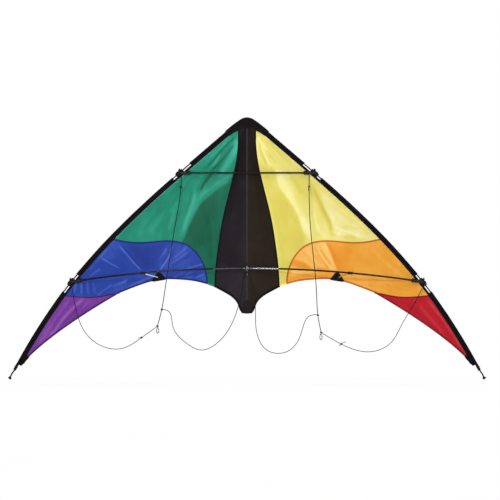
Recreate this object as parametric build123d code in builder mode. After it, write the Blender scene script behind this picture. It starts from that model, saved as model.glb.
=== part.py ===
from build123d import *
import os
from math import atan2, cos, hypot, pi, sin

# A two-line delta kite, upright, seen from its bridle side when looking along +Y.
# X is across the span, Y points from the flyer's side to the back of the sail, Z is up.
# The origin is the centre T, on the front plane of the sail. Millimetres.

os.makedirs("parts", exist_ok=True)

# ------------------------------------------------------------------ driving dimensions
ROD_R = 2.0  # leading-edge and spreader rods
SPINE_R = 2.5
STANDOFF_R = 1.5
CORD_R = 0.75  # bridle line
TIP_CORD_R = 1.6
RUN = 0.05  # radial running clearance of a rod in a moulding
SPINE_Y = 4.5  # the spine lies behind the sail, and is the axis the wings fold about
SPREADER_Y = -6.5  # the spreaders lie in front of the sail
SPINE_TOP, SPINE_BOTTOM = 438.0, -128.0
NOSE_TOP, NOSE_LOW = 452.7, 420.0
TAIL_TOP, TAIL_LOW = -99.0, -135.5
HALF_STRIP = 7.0  # half width of the spine sleeve's front strip
PANEL_START = 9.6  # the wing's cloth starts here, clear of the spine group when it folds
CLOTH = 0.6
SLEEVE_R, SLEEVE_BORE, SLEEVE_WIDTH = 3.7, 3.0, 15.0
CONNECTOR_R, CONNECTOR_HALF, ARM_R, ARM_REACH = 4.75, 11.0, 4.2, 33.0
SOCKET_DEPTH = 14.0
UPPER_CONNECTOR_Z, LOWER_CONNECTOR_Z = 286.1, -41.3
T_HALF, T_R = 14.0, 4.5
SPREADER_GAP = 0.8  # open pivots: the unhooked rod ends stop this far from their sockets
SPREADER_SAG = 35.4  # drop of the lower spreader from the centre to its ends
SPREADER_BOW = 10.0  # how far the stand-offs push it forward
STANDOFF_X = 313.0
TOW_KNOT_R, SMALL_KNOT_R = 2.2, 1.7

# Outer edge of the leading edge, right wing, as (x, z).
LE_OUTER = [
    (18.1, 450.0), (52.5, 420.0), (93.2, 385.0), (134.1, 350.0), (192.3, 300.0),
    (249.4, 250.0), (304.7, 200.0), (357.6, 150.0), (407.7, 100.0), (454.6, 50.0),
    (498.3, 0.0), (527.5, -35.0), (554.5, -70.0), (576.0, -100.0), (610.0, -150.0),
    (641.8, -200.0), (671.5, -250.0), (691.0, -285.0), (701.5, -305.0),
]
# Edge between the black centre panel and the upper panel.
CENTRE_EDGE = [
    (27.5, 421.0), (27.3, 400.0), (27.5, 377.0), (32.0, 329.0), (42.0, 280.0),
    (56.0, 223.0), (70.0, 166.0), (80.0, 115.0), (88.0, 61.0), (93.5, 19.0),
    (98.6, -56.0),
]
# Seam between the upper and the middle panel, from the trailing edge to the leading edge.
LOBE_SEAM = [
    (120.0, -48.0), (123.0, -15.0), (132.0, 13.5), (150.0, 43.5), (179.0, 69.0),
    (210.0, 79.5), (244.0, 82.0), (289.0, 78.5), (329.0, 76.5), (361.0, 79.0),
    (402.0, 87.0),
]
# Seam between the middle and the tip panel, from the trailing edge to the leading edge.
TIP_SEAM = [(385.0, -74.5), (425.0, -82.0), (447.0, -86.0), (492.0, -87.5), (545.5, -82.5)]
# Trailing edge in three runs, from the centre outwards.
TE_STRIP = [(98.6, -56.0), (120.0, -48.0)]
TE_MIDDLE = [
    (120.0, -48.0), (155.0, -39.5), (200.0, -34.5), (239.0, -33.3), (285.0, -39.0),
    (330.0, -53.0), (385.0, -74.5),
]
TE_TIP = [
    (385.0, -74.5), (439.5, -107.0), (496.5, -143.0), (549.0, -179.0), (597.0, -215.0),
    (639.0, -251.0), (655.0, -266.0),
]
TAIL_EDGE = [(98.6, -56.0), (70.0, -71.0), (42.0, -89.0), (29.0, -105.0), (20.0, -127.0), (14.0, -135.3)]


def offset_inwards(points, distance):
    """The run of points moved towards the sail by a distance, square to the run."""
    moved = []
    for i, (x, z) in enumerate(points):
        xa, za = points[max(i - 1, 0)]
        xb, zb = points[min(i + 1, len(points) - 1)]
        dx, dz = xb - xa, zb - za
        size = hypot(dx, dz)
        moved.append((x + dz / size * distance, z - dx / size * distance))
    return moved


LE_AXIS = offset_inwards(LE_OUTER, SLEEVE_R)
LE_INNER = offset_inwards(LE_OUTER, SLEEVE_WIDTH + 0.3)

# ------------------------------------------------------------------ the sail's billow
APEX_Z = 445.0
BILLOW = 0.118
BILLOW_POWER = 1.25
# Angle of the sleeve's seam from the spine, seen from the apex, against the distance in metres.
LE_ANGLE = (0.87556, -0.09091, 0.3009, -0.61422, 0.27283)


def le_angle(r):
    """Angle of the sleeve's seam at a distance r from the apex."""
    return sum(c * (r / 1000.0) ** i for i, c in enumerate(LE_ANGLE))


def billow_at(r, s):
    """Depth of the cloth at a distance r, a share s of the way from the spine to the seam."""
    return r * BILLOW * sin(pi * s**BILLOW_POWER)


def billow(x, z):
    """How far behind the front plane the cloth lies: a cone from the nose, filled by the wind."""
    r = hypot(x, APEX_Z - z)
    return billow_at(r, max(atan2(x, APEX_Z - z) / le_angle(r), 0.0))


def spreader_point(x):
    """A point on the right-hand lower spreader's bowed axis."""
    return (
        x,
        SPREADER_Y - SPREADER_BOW * sin(pi * x / 520.0),
        -SPREADER_SAG * (x / 492.0) ** 2,
    )


# ------------------------------------------------------------------ helpers
def write(name, piece):
    """Label a finished piece and write it out under its name."""
    piece.part.label = name
    export_step(piece.part, "parts/" + name + ".step")


def write_pair(name, right):
    """Write the right-hand piece and its mirror image."""
    write(name + "_right", right)
    with BuildPart() as left:
        mirror(right.part, about=Plane.YZ)
    write(name + "_left", left)


def tube_along(path, outer, inner=0.0):
    """A round bar or tube swept along one edge."""
    with BuildPart() as bar:
        with BuildSketch(Plane(origin=path @ 0, z_dir=path % 0)):
            Circle(outer)
            if inner:
                Circle(inner, mode=Mode.SUBTRACT)
        sweep(path=path)
    return bar


def at_height(path, z):
    """Where along a falling edge it passes a height, from 0 to 1."""
    low, high = 0.0, 1.0
    for _ in range(40):
        mid = (low + high) / 2
        if (path @ mid).Z > z:
            low = mid
        else:
            high = mid
    return (low + high) / 2


def cord(points, knots=()):
    """A line through points, with round knots tied in it at some of them."""
    with BuildPart() as line:
        with BuildLine() as run:
            Spline(*points)
        with BuildSketch(Plane(origin=run.line @ 0, z_dir=run.line % 0)):
            Circle(CORD_R)
        sweep(path=run.line)
        for place, radius in knots:
            i = points.index(place)
            before, after = points[max(i - 1, 0)], points[min(i + 1, len(points) - 1)]
            across = (after[2] - before[2], 0, before[0] - after[0])
            with Locations(Plane(origin=place, z_dir=(0, 1, 0), x_dir=across)):
                Sphere(radius)
    return line


# ------------------------------------------------------------------ spine group
with BuildPart() as spine_rod:
    with BuildSketch(Plane(origin=(0, SPINE_Y, SPINE_BOTTOM), z_dir=(0, 0, 1))):
        Circle(SPINE_R)
    extrude(amount=SPINE_TOP - SPINE_BOTTOM)
    chamfer(spine_rod.edges().filter_by(GeomType.CIRCLE), 0.4)
write("spine_rod", spine_rod)

with BuildPart() as spine_nose_cap:
    with BuildSketch(Plane(origin=(0, SPINE_Y, SPINE_TOP - 11.0), z_dir=(0, 0, 1))):
        Circle(3.2)
    extrude(amount=12.6)
    fillet(spine_nose_cap.edges().sort_by(Axis.Z)[-1], 1.2)
    with BuildSketch(Plane(origin=(0, SPINE_Y, SPINE_TOP - 11.0), z_dir=(0, 0, 1))):
        Circle(SPINE_R + RUN)
    extrude(amount=11.0 + RUN, mode=Mode.SUBTRACT)
write("spine_nose_cap", spine_nose_cap)

with BuildPart() as spine_tail_cap:
    with BuildSketch(Plane(origin=(0, SPINE_Y, SPINE_BOTTOM + 11.0), z_dir=(0, 0, -1))):
        Circle(3.2)
    extrude(amount=12.6)
    fillet(spine_tail_cap.edges().sort_by(Axis.Z)[0], 1.2)
    with BuildSketch(Plane(origin=(0, SPINE_Y, SPINE_BOTTOM + 11.0), z_dir=(0, 0, -1))):
        Circle(SPINE_R + RUN)
    extrude(amount=11.0 + RUN, mode=Mode.SUBTRACT)
write("spine_tail_cap", spine_tail_cap)

# The tunnel on the back that holds the spine, with the opening the T reaches through.
with BuildPart() as spine_sleeve:
    with BuildSketch(Plane.XY.offset(TAIL_TOP + 0.3)):
        with Locations((0, 0)):
            Rectangle(2 * HALF_STRIP, 1.2)
        with Locations((0, SPINE_Y)):
            Circle(4.3)
        with Locations((0, SPINE_Y)):
            Circle(3.4, mode=Mode.SUBTRACT)
    extrude(amount=NOSE_LOW - TAIL_TOP - 0.6)
    with Locations((0, 2.5, 0)):
        Box(11.0, 13.0, 26.0, mode=Mode.SUBTRACT)
write("spine_sleeve", spine_sleeve)

with BuildPart() as tail_strap:
    with BuildSketch(Plane.XZ.offset(-9.2)):
        with BuildLine():
            Polyline((-9, TAIL_TOP), (9, TAIL_TOP), (9, TAIL_LOW), (-9, TAIL_LOW), close=True)
        make_face()
    extrude(amount=10.6)
    fillet(tail_strap.edges().filter_by(Axis.Y).group_by(Axis.Z)[0], 3.0)
    fillet(tail_strap.edges().filter_by(Axis.X).group_by(Axis.Z)[0], 1.5)
    with Locations((0, SPINE_Y, (TAIL_TOP + 1 + SPINE_BOTTOM - 3) / 2)):
        Box(7.2, 7.0, TAIL_TOP + 1 - SPINE_BOTTOM + 3, mode=Mode.SUBTRACT)
write("tail_strap", tail_strap)

with BuildPart() as nose_webbing:
    with BuildSketch(Plane.XZ.offset(-9.2)):
        with BuildLine():
            Polyline((-9, NOSE_LOW), (9, NOSE_LOW), (9, NOSE_TOP - 4.5), (-9, NOSE_TOP - 4.5), close=True)
        make_face()
        with Locations((0, NOSE_TOP - 4.5)):
            Ellipse(9.0, 4.5)
    extrude(amount=10.6)
    with Locations((0, SPINE_Y, (NOSE_LOW - 1 + SPINE_TOP + 3) / 2)):
        Box(7.2, 7.0, SPINE_TOP + 3 - NOSE_LOW + 1, mode=Mode.SUBTRACT)
write("nose_webbing", nose_webbing)

# The T: a cross tube in front for the spreaders, a neck through the sail, and a ring on the spine.
with BuildPart() as centre_t:
    with BuildSketch(Plane(origin=(-T_HALF, SPREADER_Y, 0), z_dir=(1, 0, 0))):
        Circle(T_R)
    extrude(amount=2 * T_HALF)
    fillet(centre_t.edges().filter_by(GeomType.CIRCLE), 0.8)
    with BuildSketch(Plane(origin=(0, SPINE_Y, -9.0), z_dir=(0, 0, 1))):
        Circle(4.6)
    extrude(amount=18.0)
    with Locations((0, (SPREADER_Y + SPINE_Y) / 2, 0)):
        Box(6.4, SPINE_Y - SPREADER_Y, 15.0)
    with BuildSketch(Plane(origin=(0, SPREADER_Y, 0), z_dir=(0, 0, -1))):
        Circle(3.4)
    extrude(amount=22.0, taper=1.2)
    with BuildSketch(Plane(origin=(0, SPINE_Y, -9.0), z_dir=(0, 0, 1))):
        Circle(SPINE_R + RUN)
    extrude(amount=18.0, mode=Mode.SUBTRACT)
    for side in (-1, 1):
        with BuildSketch(Plane(origin=(side * T_HALF, SPREADER_Y, 0), z_dir=(-side, 0, 0))):
            Circle(ROD_R + RUN)
        extrude(amount=10.0, mode=Mode.SUBTRACT)
write("centre_t", centre_t)

# ------------------------------------------------------------------ leading edge, right wing
with BuildLine() as le_axis:
    Spline(*[(x, 0, z) for x, z in LE_AXIS])
le_curve = le_axis.line.edges()[0]
u_rod_top = at_height(le_curve, 438.5)
u_sleeve_top = at_height(le_curve, 402.5)
u_ferrule_a = at_height(le_curve, 92.0)
u_ferrule_m = at_height(le_curve, 70.0)
u_ferrule_b = at_height(le_curve, 48.0)
u_sleeve_low = at_height(le_curve, -286.5)
u_rod_low = at_height(le_curve, -298.0)
u_upper = at_height(le_curve, UPPER_CONNECTOR_Z)
u_lower = at_height(le_curve, LOWER_CONNECTOR_Z)
LE_LENGTH = le_curve.length

le_upper_rod = tube_along(le_curve.trim(u_rod_top, u_ferrule_m - 0.0002), ROD_R)
write_pair("le_upper_rod", le_upper_rod)
le_lower_rod = tube_along(le_curve.trim(u_ferrule_m + 0.0002, u_rod_low), ROD_R)
write_pair("le_lower_rod", le_lower_rod)
le_ferrule = tube_along(le_curve.trim(u_ferrule_a, u_ferrule_b), 2.7, ROD_R + RUN)
write_pair("le_ferrule", le_ferrule)


def frame_at(u):
    """A plane square to the leading edge: its x is +Y and its y points out of the sail."""
    return Plane(origin=le_curve @ u, z_dir=le_curve % u, x_dir=(0, 1, 0))


# The sleeve: a tube of folded cloth with a sewn flap, opened by a window at each connector.
with BuildPart() as le_sleeve:
    run = le_curve.trim(u_sleeve_top, u_sleeve_low)
    with BuildSketch(frame_at(u_sleeve_top)):
        Circle(SLEEVE_R)
        with Locations((0, -(SLEEVE_WIDTH - SLEEVE_R) / 2)):
            Rectangle(1.2, SLEEVE_WIDTH - SLEEVE_R)
        Circle(SLEEVE_BORE, mode=Mode.SUBTRACT)
    sweep(path=run)
    for u_centre, above, below in ((u_upper, 42.0, 26.0), (u_lower, 29.0, 38.0)):
        here = frame_at(u_centre)
        with BuildSketch(Plane(origin=here.origin - here.z_dir * above, z_dir=here.z_dir, x_dir=here.x_dir)):
            with Locations((0, 1.4)):
                Rectangle(16.0, 13.2)
        extrude(amount=above + below, mode=Mode.SUBTRACT)
write_pair("le_sleeve", le_sleeve)

# The nose webbing's wing part, folded over the end of the leading-edge rod.
with BuildPart() as nose_flap:
    with BuildSketch(Plane.XZ.offset(-3.4)):
        with BuildLine():
            Polyline((11.4, 450.5), (17.0, 452.0), (58.0, 417.5), (46.5, 403.8), (33.0, 414.5), (27.0, 422.0), (11.4, 422.0), close=True)
        make_face()
    extrude(amount=6.8)
    fillet(nose_flap.edges().filter_by(Axis.Y).sort_by(Axis.Z)[-1], 3.0)
    with BuildSketch(frame_at(u_rod_top - 0.002)):
        Circle(ROD_R + RUN)
    sweep(path=le_curve.trim(u_rod_top - 0.002, at_height(le_curve, 396.0)), mode=Mode.SUBTRACT)
write_pair("nose_flap", nose_flap)

# ------------------------------------------------------------------ mouldings on the leading edge
spreader_end = Vector(*spreader_point(494.0))
before_end = Vector(*spreader_point(492.0))
end_direction = (spreader_end - before_end).normalized()


def build_connector(u, arm_start, arm_direction, arm_length):
    """A barrel on the leading-edge rod with an arm that takes a spreader."""
    here = frame_at(u)
    with BuildPart() as connector:
        with BuildSketch(Plane(origin=here.origin - here.z_dir * CONNECTOR_HALF, z_dir=here.z_dir, x_dir=here.x_dir)):
            Circle(CONNECTOR_R)
        extrude(amount=2 * CONNECTOR_HALF)
        fillet(connector.edges().filter_by(GeomType.CIRCLE), 0.9)
        with BuildSketch(Plane(origin=arm_start, z_dir=arm_direction)):
            Circle(ARM_R)
        extrude(amount=arm_length)
        with BuildSketch(Plane(origin=arm_start, z_dir=arm_direction)):
            Circle(ROD_R + RUN)
        extrude(amount=SOCKET_DEPTH, mode=Mode.SUBTRACT)
        bore = le_curve.trim(u - 15.0 / LE_LENGTH, u + 15.0 / LE_LENGTH)
        with BuildSketch(Plane(origin=bore @ 0, z_dir=bore % 0)):
            Circle(ROD_R + RUN)
        sweep(path=bore, mode=Mode.SUBTRACT)
    return connector


upper_axis = le_curve @ u_upper
upper_mouth = Vector(upper_axis.X - ARM_REACH, SPREADER_Y, upper_axis.Z)
upper_connector = build_connector(u_upper, upper_mouth, Vector(1, 0, 0), ARM_REACH + 1.0)
write_pair("upper_connector", upper_connector)
lower_connector = build_connector(u_lower, spreader_end, end_direction, ARM_REACH + 1.5)
write_pair("lower_connector", lower_connector)

# ------------------------------------------------------------------ spreaders
with BuildPart() as upper_spreader:
    with BuildSketch(Plane(origin=(-upper_mouth.X + SPREADER_GAP, SPREADER_Y, upper_mouth.Z), z_dir=(1, 0, 0))):
        Circle(ROD_R)
    extrude(amount=2 * upper_mouth.X - SPREADER_GAP + SOCKET_DEPTH - 0.5)
write("upper_spreader", upper_spreader)

with BuildPart() as lower_spreader:
    with BuildLine() as spreader_axis:
        bow = Spline(
            *[spreader_point(x) for x in (T_HALF + SPREADER_GAP, 80, 160, 240, 313, 400, 450, 494)],
        )
        Line(bow @ 1, (bow @ 1) + (bow % 1) * (SOCKET_DEPTH - 1.5))
    with BuildSketch(Plane(origin=spreader_axis.line @ 0, z_dir=spreader_axis.line % 0)):
        Circle(ROD_R)
    sweep(path=spreader_axis.line)
write_pair("lower_spreader", lower_spreader)

# ------------------------------------------------------------------ stand-off
clip_centre = Vector(*spreader_point(STANDOFF_X))
clip_direction = (Vector(*spreader_point(STANDOFF_X + 2)) - Vector(*spreader_point(STANDOFF_X - 2))).normalized()
foot_x, foot_z = 266.0, -24.0
foot = Vector(foot_x, billow(foot_x, foot_z) - 2.4, foot_z)
standoff_direction = (foot - clip_centre).normalized()
standoff_length = (foot - clip_centre).length

with BuildPart() as standoff_clip:
    with BuildSketch(Plane(origin=clip_centre - clip_direction * 6.5, z_dir=clip_direction)):
        Circle(4.4)
    extrude(amount=13.0)
    fillet(standoff_clip.edges().filter_by(GeomType.CIRCLE), 0.8)
    with BuildSketch(Plane(origin=clip_centre, z_dir=standoff_direction)):
        Circle(3.1)
    extrude(amount=19.0)
    with BuildSketch(Plane(origin=clip_centre - clip_direction * 8.0, z_dir=clip_direction)):
        Circle(ROD_R + RUN)
    extrude(amount=16.0, mode=Mode.SUBTRACT)
    with BuildSketch(Plane(origin=clip_centre + standoff_direction * 5.0, z_dir=standoff_direction)):
        Circle(STANDOFF_R + RUN)
    extrude(amount=15.0, mode=Mode.SUBTRACT)
write_pair("standoff_clip", standoff_clip)

with BuildPart() as standoff:
    with BuildSketch(Plane(origin=clip_centre + standoff_direction * 5.3, z_dir=standoff_direction)):
        Circle(STANDOFF_R)
    extrude(amount=standoff_length - 5.3 - 3.3)
write_pair("standoff", standoff)

# ------------------------------------------------------------------ sail
distances = [14.0 + i * 70.0 for i in range(16)]
shares = [i * 0.08 for i in range(14)]


def cloth_blank(offset, thickness):
    """The whole wing's curved sheet, before its panels are cut from it."""
    surface = Face.make_surface_from_array_of_points(
        [
            [(r * sin(s * le_angle(r)), billow_at(r, s) + offset, APEX_Z - r * cos(s * le_angle(r))) for s in shares]
            for r in distances
        ],
        tol=0.05,
    )
    with BuildPart() as blank:
        extrude(surface, amount=thickness, dir=(0, 1, 0))
    return blank


sail_blank = cloth_blank(0.0, CLOTH)
patch_blank = cloth_blank(-1.6, 1.3)


def run_between(points, z_high, z_low):
    """The points of a falling run between two heights, with its ends placed on them."""
    inside = [(x, z) for x, z in points if z_low + 1 < z < z_high - 1]

    def meet(z):
        for (xa, za), (xb, zb) in zip(points, points[1:]):
            if za >= z >= zb:
                return (xa + (xb - xa) * (za - z) / (za - zb), z)
        return points[-1]

    return [meet(z_high)] + inside + [meet(z_low)]


def cut_panel(runs, blank):
    """A panel whose outline is a closed chain of runs, cut from the curved sheet."""
    with BuildPart() as panel:
        with BuildSketch(Plane.XZ):
            with BuildLine():
                for points in runs:
                    if len(points) == 2:
                        Line(*points)
                    else:
                        Spline(*points)
            make_face()
        extrude(amount=150.0, both=True)
        add(blank.part, mode=Mode.INTERSECT)
    return panel


def shifted(points, dx=0.0, dz=0.0):
    return [(x + dx, z + dz) for x, z in points]


le_inner_upper = run_between(LE_INNER, 421.0, 87.3)
le_inner_middle = run_between(LE_INNER, 86.7, -82.2)
le_inner_tip = run_between(LE_INNER, -82.8, -270.0)

centre_edge_left = shifted(CENTRE_EDGE, dx=-0.2)
centre_panel = cut_panel(
    [
        [(PANEL_START, 419.5), (centre_edge_left[1][0], 419.5)],
        [(centre_edge_left[1][0], 419.5)] + centre_edge_left[1:],
        [centre_edge_left[-1]] + TAIL_EDGE[1:-1] + [(14.0, -135.0)],
        [(14.0, -135.0), (PANEL_START, -135.0)],
        [(PANEL_START, -135.0), (PANEL_START, 419.5)],
    ],
    sail_blank,
)
write_pair("centre_panel", centre_panel)

centre_edge_right = shifted(CENTRE_EDGE, dx=0.2)
apex = (centre_edge_right[1][0], 402.5)
le_from_apex = run_between(LE_INNER, 402.5, 87.3)
upper_panel = cut_panel(
    [
        [apex] + centre_edge_right[2:],
        [centre_edge_right[-1], (119.7, -48.2)],
        [(119.7, -48.2)] + shifted(LOBE_SEAM, dx=-0.15, dz=0.3)[1:-1] + [le_from_apex[-1]],
        list(reversed(le_from_apex)),
        [le_from_apex[0], apex],
    ],
    sail_blank,
)
write_pair("upper_panel", upper_panel)

middle_panel = cut_panel(
    [
        [LOBE_SEAM[0]] + LOBE_SEAM[1:-1] + [le_inner_middle[0]],
        le_inner_middle,
        [le_inner_middle[-1]] + list(reversed(TIP_SEAM[1:-1])) + [TIP_SEAM[0]],
        list(reversed(TE_MIDDLE)),
    ],
    sail_blank,
)
write_pair("middle_panel", middle_panel)

tip_seam_low = shifted(TIP_SEAM, dx=0.25, dz=-0.4)
tip_panel = cut_panel(
    [
        [tip_seam_low[0]] + tip_seam_low[1:-1] + [le_inner_tip[0]],
        le_inner_tip,
        [le_inner_tip[-1], TE_TIP[-1]],
        list(reversed(TE_TIP[1:])) + [tip_seam_low[0]],
    ],
    sail_blank,
)
write_pair("tip_panel", tip_panel)

# The stand-off's foot: a sewn patch on the trailing edge with a moulded socket for the rod.
with BuildPart() as standoff_patch:
    with BuildSketch(Plane.XZ):
        with BuildLine():
            Polyline((261.5, -13.0), (270.5, -13.0), (287.5, -38.3), (245.5, -33.0), close=True)
        make_face()
    extrude(amount=150.0, both=True)
    add(patch_blank.part, mode=Mode.INTERSECT)
    with BuildSketch(Plane(origin=foot, z_dir=-standoff_direction)):
        Circle(3.2)
    extrude(amount=15.0)
    with BuildSketch(Plane(origin=foot - standoff_direction * 3.0, z_dir=-standoff_direction)):
        Circle(STANDOFF_R + RUN)
    extrude(amount=14.0, mode=Mode.SUBTRACT)
write_pair("standoff_patch", standoff_patch)

# ------------------------------------------------------------------ tips
with BuildPart() as tip_cap:
    cap_top = at_height(le_curve, -288.0)
    here = frame_at(cap_top)
    with BuildSketch(here):
        Circle(4.5)
    extrude(amount=20.0, taper=2.0)
    fillet(tip_cap.edges().filter_by(GeomType.CIRCLE), 0.8)
    with BuildSketch(here):
        Circle(ROD_R + RUN + 0.05)
    extrude(amount=13.5, mode=Mode.SUBTRACT)
    with BuildSketch(Plane(origin=here.origin + here.z_dir * 16.2, z_dir=here.z_dir, x_dir=here.x_dir)):
        Rectangle(3.8, 12.0)
    extrude(amount=5.0, mode=Mode.SUBTRACT)
write_pair("tip_cap", tip_cap)

cap_here = frame_at(at_height(le_curve, -288.0))
cord_start = cap_here.origin + cap_here.z_dir * 17.6
tip_end = Vector(711.0, -2.0, -330.0)
with BuildPart() as tip_cord:
    with BuildLine() as tip_run:
        Spline(cord_start, cord_start + cap_here.z_dir * 6.0, (cord_start + tip_end) * 0.5 + Vector(1.2, 0, 0.5), tip_end)
    with BuildSketch(Plane(origin=tip_run.line @ 0, z_dir=tip_run.line % 0)):
        Circle(TIP_CORD_R)
    sweep(path=tip_run.line)
    with Locations(tip_end):
        Sphere(3.2)
write_pair("tip_cord", tip_cord)

# ------------------------------------------------------------------ bridle
# Upper leg: from under the upper connector down to the tow knot, passing the trim knot.
UPPER_LEG_LEFT = [
    (-197.0, -7.0, 280.2), (-198.0, -11.0, 244.5), (-213.0, -17.0, 140.0), (-232.0, -22.5, 23.0),
    (-248.0, -23.0, -82.0), (-255.0, -23.0, -123.0), (-268.0, -23.0, -173.0),
]
UPPER_LEG_RIGHT = [
    (186.0, -7.0, 280.2), (186.0, -11.0, 244.5), (188.0, -15.0, 157.0), (197.0, -21.0, 50.0),
    (208.0, -23.0, -72.6), (212.0, -23.0, -140.0), (222.0, -23.0, -192.0),
]
write("bridle_upper_leg_left", cord(UPPER_LEG_LEFT, [((-198.0, -11.0, 244.5), SMALL_KNOT_R), ((-255.0, -23.0, -123.0), TOW_KNOT_R), ((-268.0, -23.0, -173.0), TOW_KNOT_R)]))
write("bridle_upper_leg_right", cord(UPPER_LEG_RIGHT, [((186.0, -11.0, 244.5), SMALL_KNOT_R), ((212.0, -23.0, -140.0), TOW_KNOT_R), ((222.0, -23.0, -192.0), TOW_KNOT_R)]))

# Outer legs: slack loops between the tow knot and the lower connector.
OUTER_LEG_LEFT = [
    (-270.6, -23.0, -174.9), (-315.0, -24.0, -207.0), (-377.0, -24.5, -240.0), (-435.0, -23.0, -232.0),
    (-487.5, -18.0, -187.0), (-511.5, -14.0, -125.0), (-523.5, -9.5, -60.0),
]
OUTER_LEG_RIGHT = [
    (224.6, -23.0, -193.8), (282.0, -24.0, -226.5), (373.0, -24.0, -249.0), (430.0, -21.5, -223.0),
    (463.5, -18.0, -168.0), (504.0, -12.0, -101.0), (524.0, -9.5, -60.0),
]
write("bridle_outer_leg_left", cord(OUTER_LEG_LEFT, [((-315.0, -24.0, -207.0), SMALL_KNOT_R)]))
write("bridle_outer_leg_right", cord(OUTER_LEG_RIGHT))

# Inner legs: slack loops between the trim knot and the foot of the T.
INNER_LEG_LEFT = [
    (-252.1, -23.2, -121.8), (-235.0, -24.5, -128.0), (-222.0, -25.5, -172.0), (-182.0, -26.0, -223.0),
    (-138.0, -25.5, -244.0), (-78.0, -22.8, -213.0), (-38.0, -18.5, -149.0), (-15.0, -13.8, -62.0),
    (-8.0, -12.0, -12.0),
]
INNER_LEG_RIGHT = [
    (209.2, -23.2, -138.8), (190.0, -24.5, -141.0), (160.0, -25.5, -200.0), (114.0, -26.0, -251.0),
    (62.0, -24.0, -246.0), (29.0, -19.5, -190.0), (25.0, -16.5, -118.0), (8.0, -12.0, -12.0),
]
write("bridle_inner_leg_left", cord(INNER_LEG_LEFT))
write("bridle_inner_leg_right", cord(INNER_LEG_RIGHT))


def build_tow_loop(knot, lean):
    """The loop a flying line is hitched to, hanging under a tow knot."""
    centre = (knot[0] + lean, knot[1], knot[2] - 12.2)
    with BuildPart() as loop:
        with BuildLine(Plane(origin=centre, z_dir=(0, -1, 0), x_dir=(1, 0, 0))) as ring:
            Spline((0, 8.6), (-2.6, 3.0), (-3.4, -3.0), (0, -8.6), (3.4, -3.0), (2.6, 3.0), periodic=True)
        with BuildSketch(Plane(origin=ring.line @ 0, z_dir=ring.line % 0)):
            Circle(CORD_R)
        sweep(path=ring.line)
    return loop


write("tow_loop_left", build_tow_loop((-268.0, -23.0, -173.0), 0.8))
write("tow_loop_right", build_tow_loop((222.0, -23.0, -192.0), -0.6))
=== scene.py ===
import math
import random

import bmesh
import bpy
import numpy as np
from mathutils import Matrix, Vector
from mathutils.geometry import delaunay_2d_cdt

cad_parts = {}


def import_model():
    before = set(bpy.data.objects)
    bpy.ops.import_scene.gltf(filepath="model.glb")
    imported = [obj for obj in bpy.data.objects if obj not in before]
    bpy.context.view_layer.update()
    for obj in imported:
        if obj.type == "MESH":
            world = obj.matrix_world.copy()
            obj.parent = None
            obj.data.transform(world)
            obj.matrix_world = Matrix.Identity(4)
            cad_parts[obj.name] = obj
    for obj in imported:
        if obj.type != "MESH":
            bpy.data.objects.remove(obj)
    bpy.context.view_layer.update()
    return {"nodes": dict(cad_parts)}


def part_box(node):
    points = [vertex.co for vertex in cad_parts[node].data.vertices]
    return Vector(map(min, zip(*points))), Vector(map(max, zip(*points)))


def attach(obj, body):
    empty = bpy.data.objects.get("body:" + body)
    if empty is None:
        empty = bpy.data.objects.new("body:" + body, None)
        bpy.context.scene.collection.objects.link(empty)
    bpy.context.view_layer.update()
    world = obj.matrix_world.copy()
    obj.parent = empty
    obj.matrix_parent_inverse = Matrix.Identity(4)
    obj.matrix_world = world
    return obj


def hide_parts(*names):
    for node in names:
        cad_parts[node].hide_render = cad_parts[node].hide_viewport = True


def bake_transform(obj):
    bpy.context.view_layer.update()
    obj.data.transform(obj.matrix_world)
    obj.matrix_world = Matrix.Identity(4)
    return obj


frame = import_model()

MM = 0.001
SIDES = (("right", 1), ("left", -1))

# ------------------------------------------------------------------ the kite's own dimensions, millimetres
SPINE_Y = 4.5
SPREADER_Y = -6.5
SPREADER_SAG, SPREADER_BOW = 35.4, 10.0
CLOTH = 0.45
CORD_R = 1.0
APEX_Z, BILLOW, BILLOW_POWER = 445.0, 0.118, 1.25
LE_ANGLE = (0.87556, -0.09091, 0.3009, -0.61422, 0.27283)
LE_OUTER = [
    (18.1, 450.0), (52.5, 420.0), (93.2, 385.0), (134.1, 350.0), (192.3, 300.0),
    (249.4, 250.0), (304.7, 200.0), (357.6, 150.0), (407.7, 100.0), (454.6, 50.0),
    (498.3, 0.0), (527.5, -35.0), (554.5, -70.0), (576.0, -100.0), (610.0, -150.0),
    (641.8, -200.0), (671.5, -250.0), (691.0, -285.0), (701.5, -305.0),
]
CENTRE_EDGE = [
    (27.5, 421.0), (27.3, 400.0), (27.5, 377.0), (32.0, 329.0), (42.0, 280.0),
    (56.0, 223.0), (70.0, 166.0), (80.0, 115.0), (88.0, 61.0), (93.5, 19.0),
    (98.6, -56.0),
]
LOBE_SEAM = [
    (120.0, -48.0), (123.0, -15.0), (132.0, 13.5), (150.0, 43.5), (179.0, 69.0),
    (210.0, 79.5), (244.0, 82.0), (289.0, 78.5), (329.0, 76.5), (361.0, 79.0),
    (404.5, 88.0),
]
TIP_SEAM = [(385.0, -74.5), (425.0, -82.0), (447.0, -86.0), (492.0, -87.5), (548.5, -82.0)]
TE_STRIP = [(98.6, -56.0), (120.0, -48.0)]
TE_MIDDLE = [
    (120.0, -48.0), (155.0, -39.5), (200.0, -34.5), (239.0, -33.3), (285.0, -39.0),
    (330.0, -53.0), (385.0, -74.5),
]
TE_TIP = [
    (385.0, -74.5), (439.5, -107.0), (496.5, -143.0), (549.0, -179.0), (597.0, -215.0),
    (639.0, -251.0), (655.0, -266.0),
]
TAIL_EDGE = [(98.6, -56.0), (70.0, -71.0), (42.0, -89.0), (29.0, -105.0), (20.0, -127.0), (14.0, -135.3)]


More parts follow.
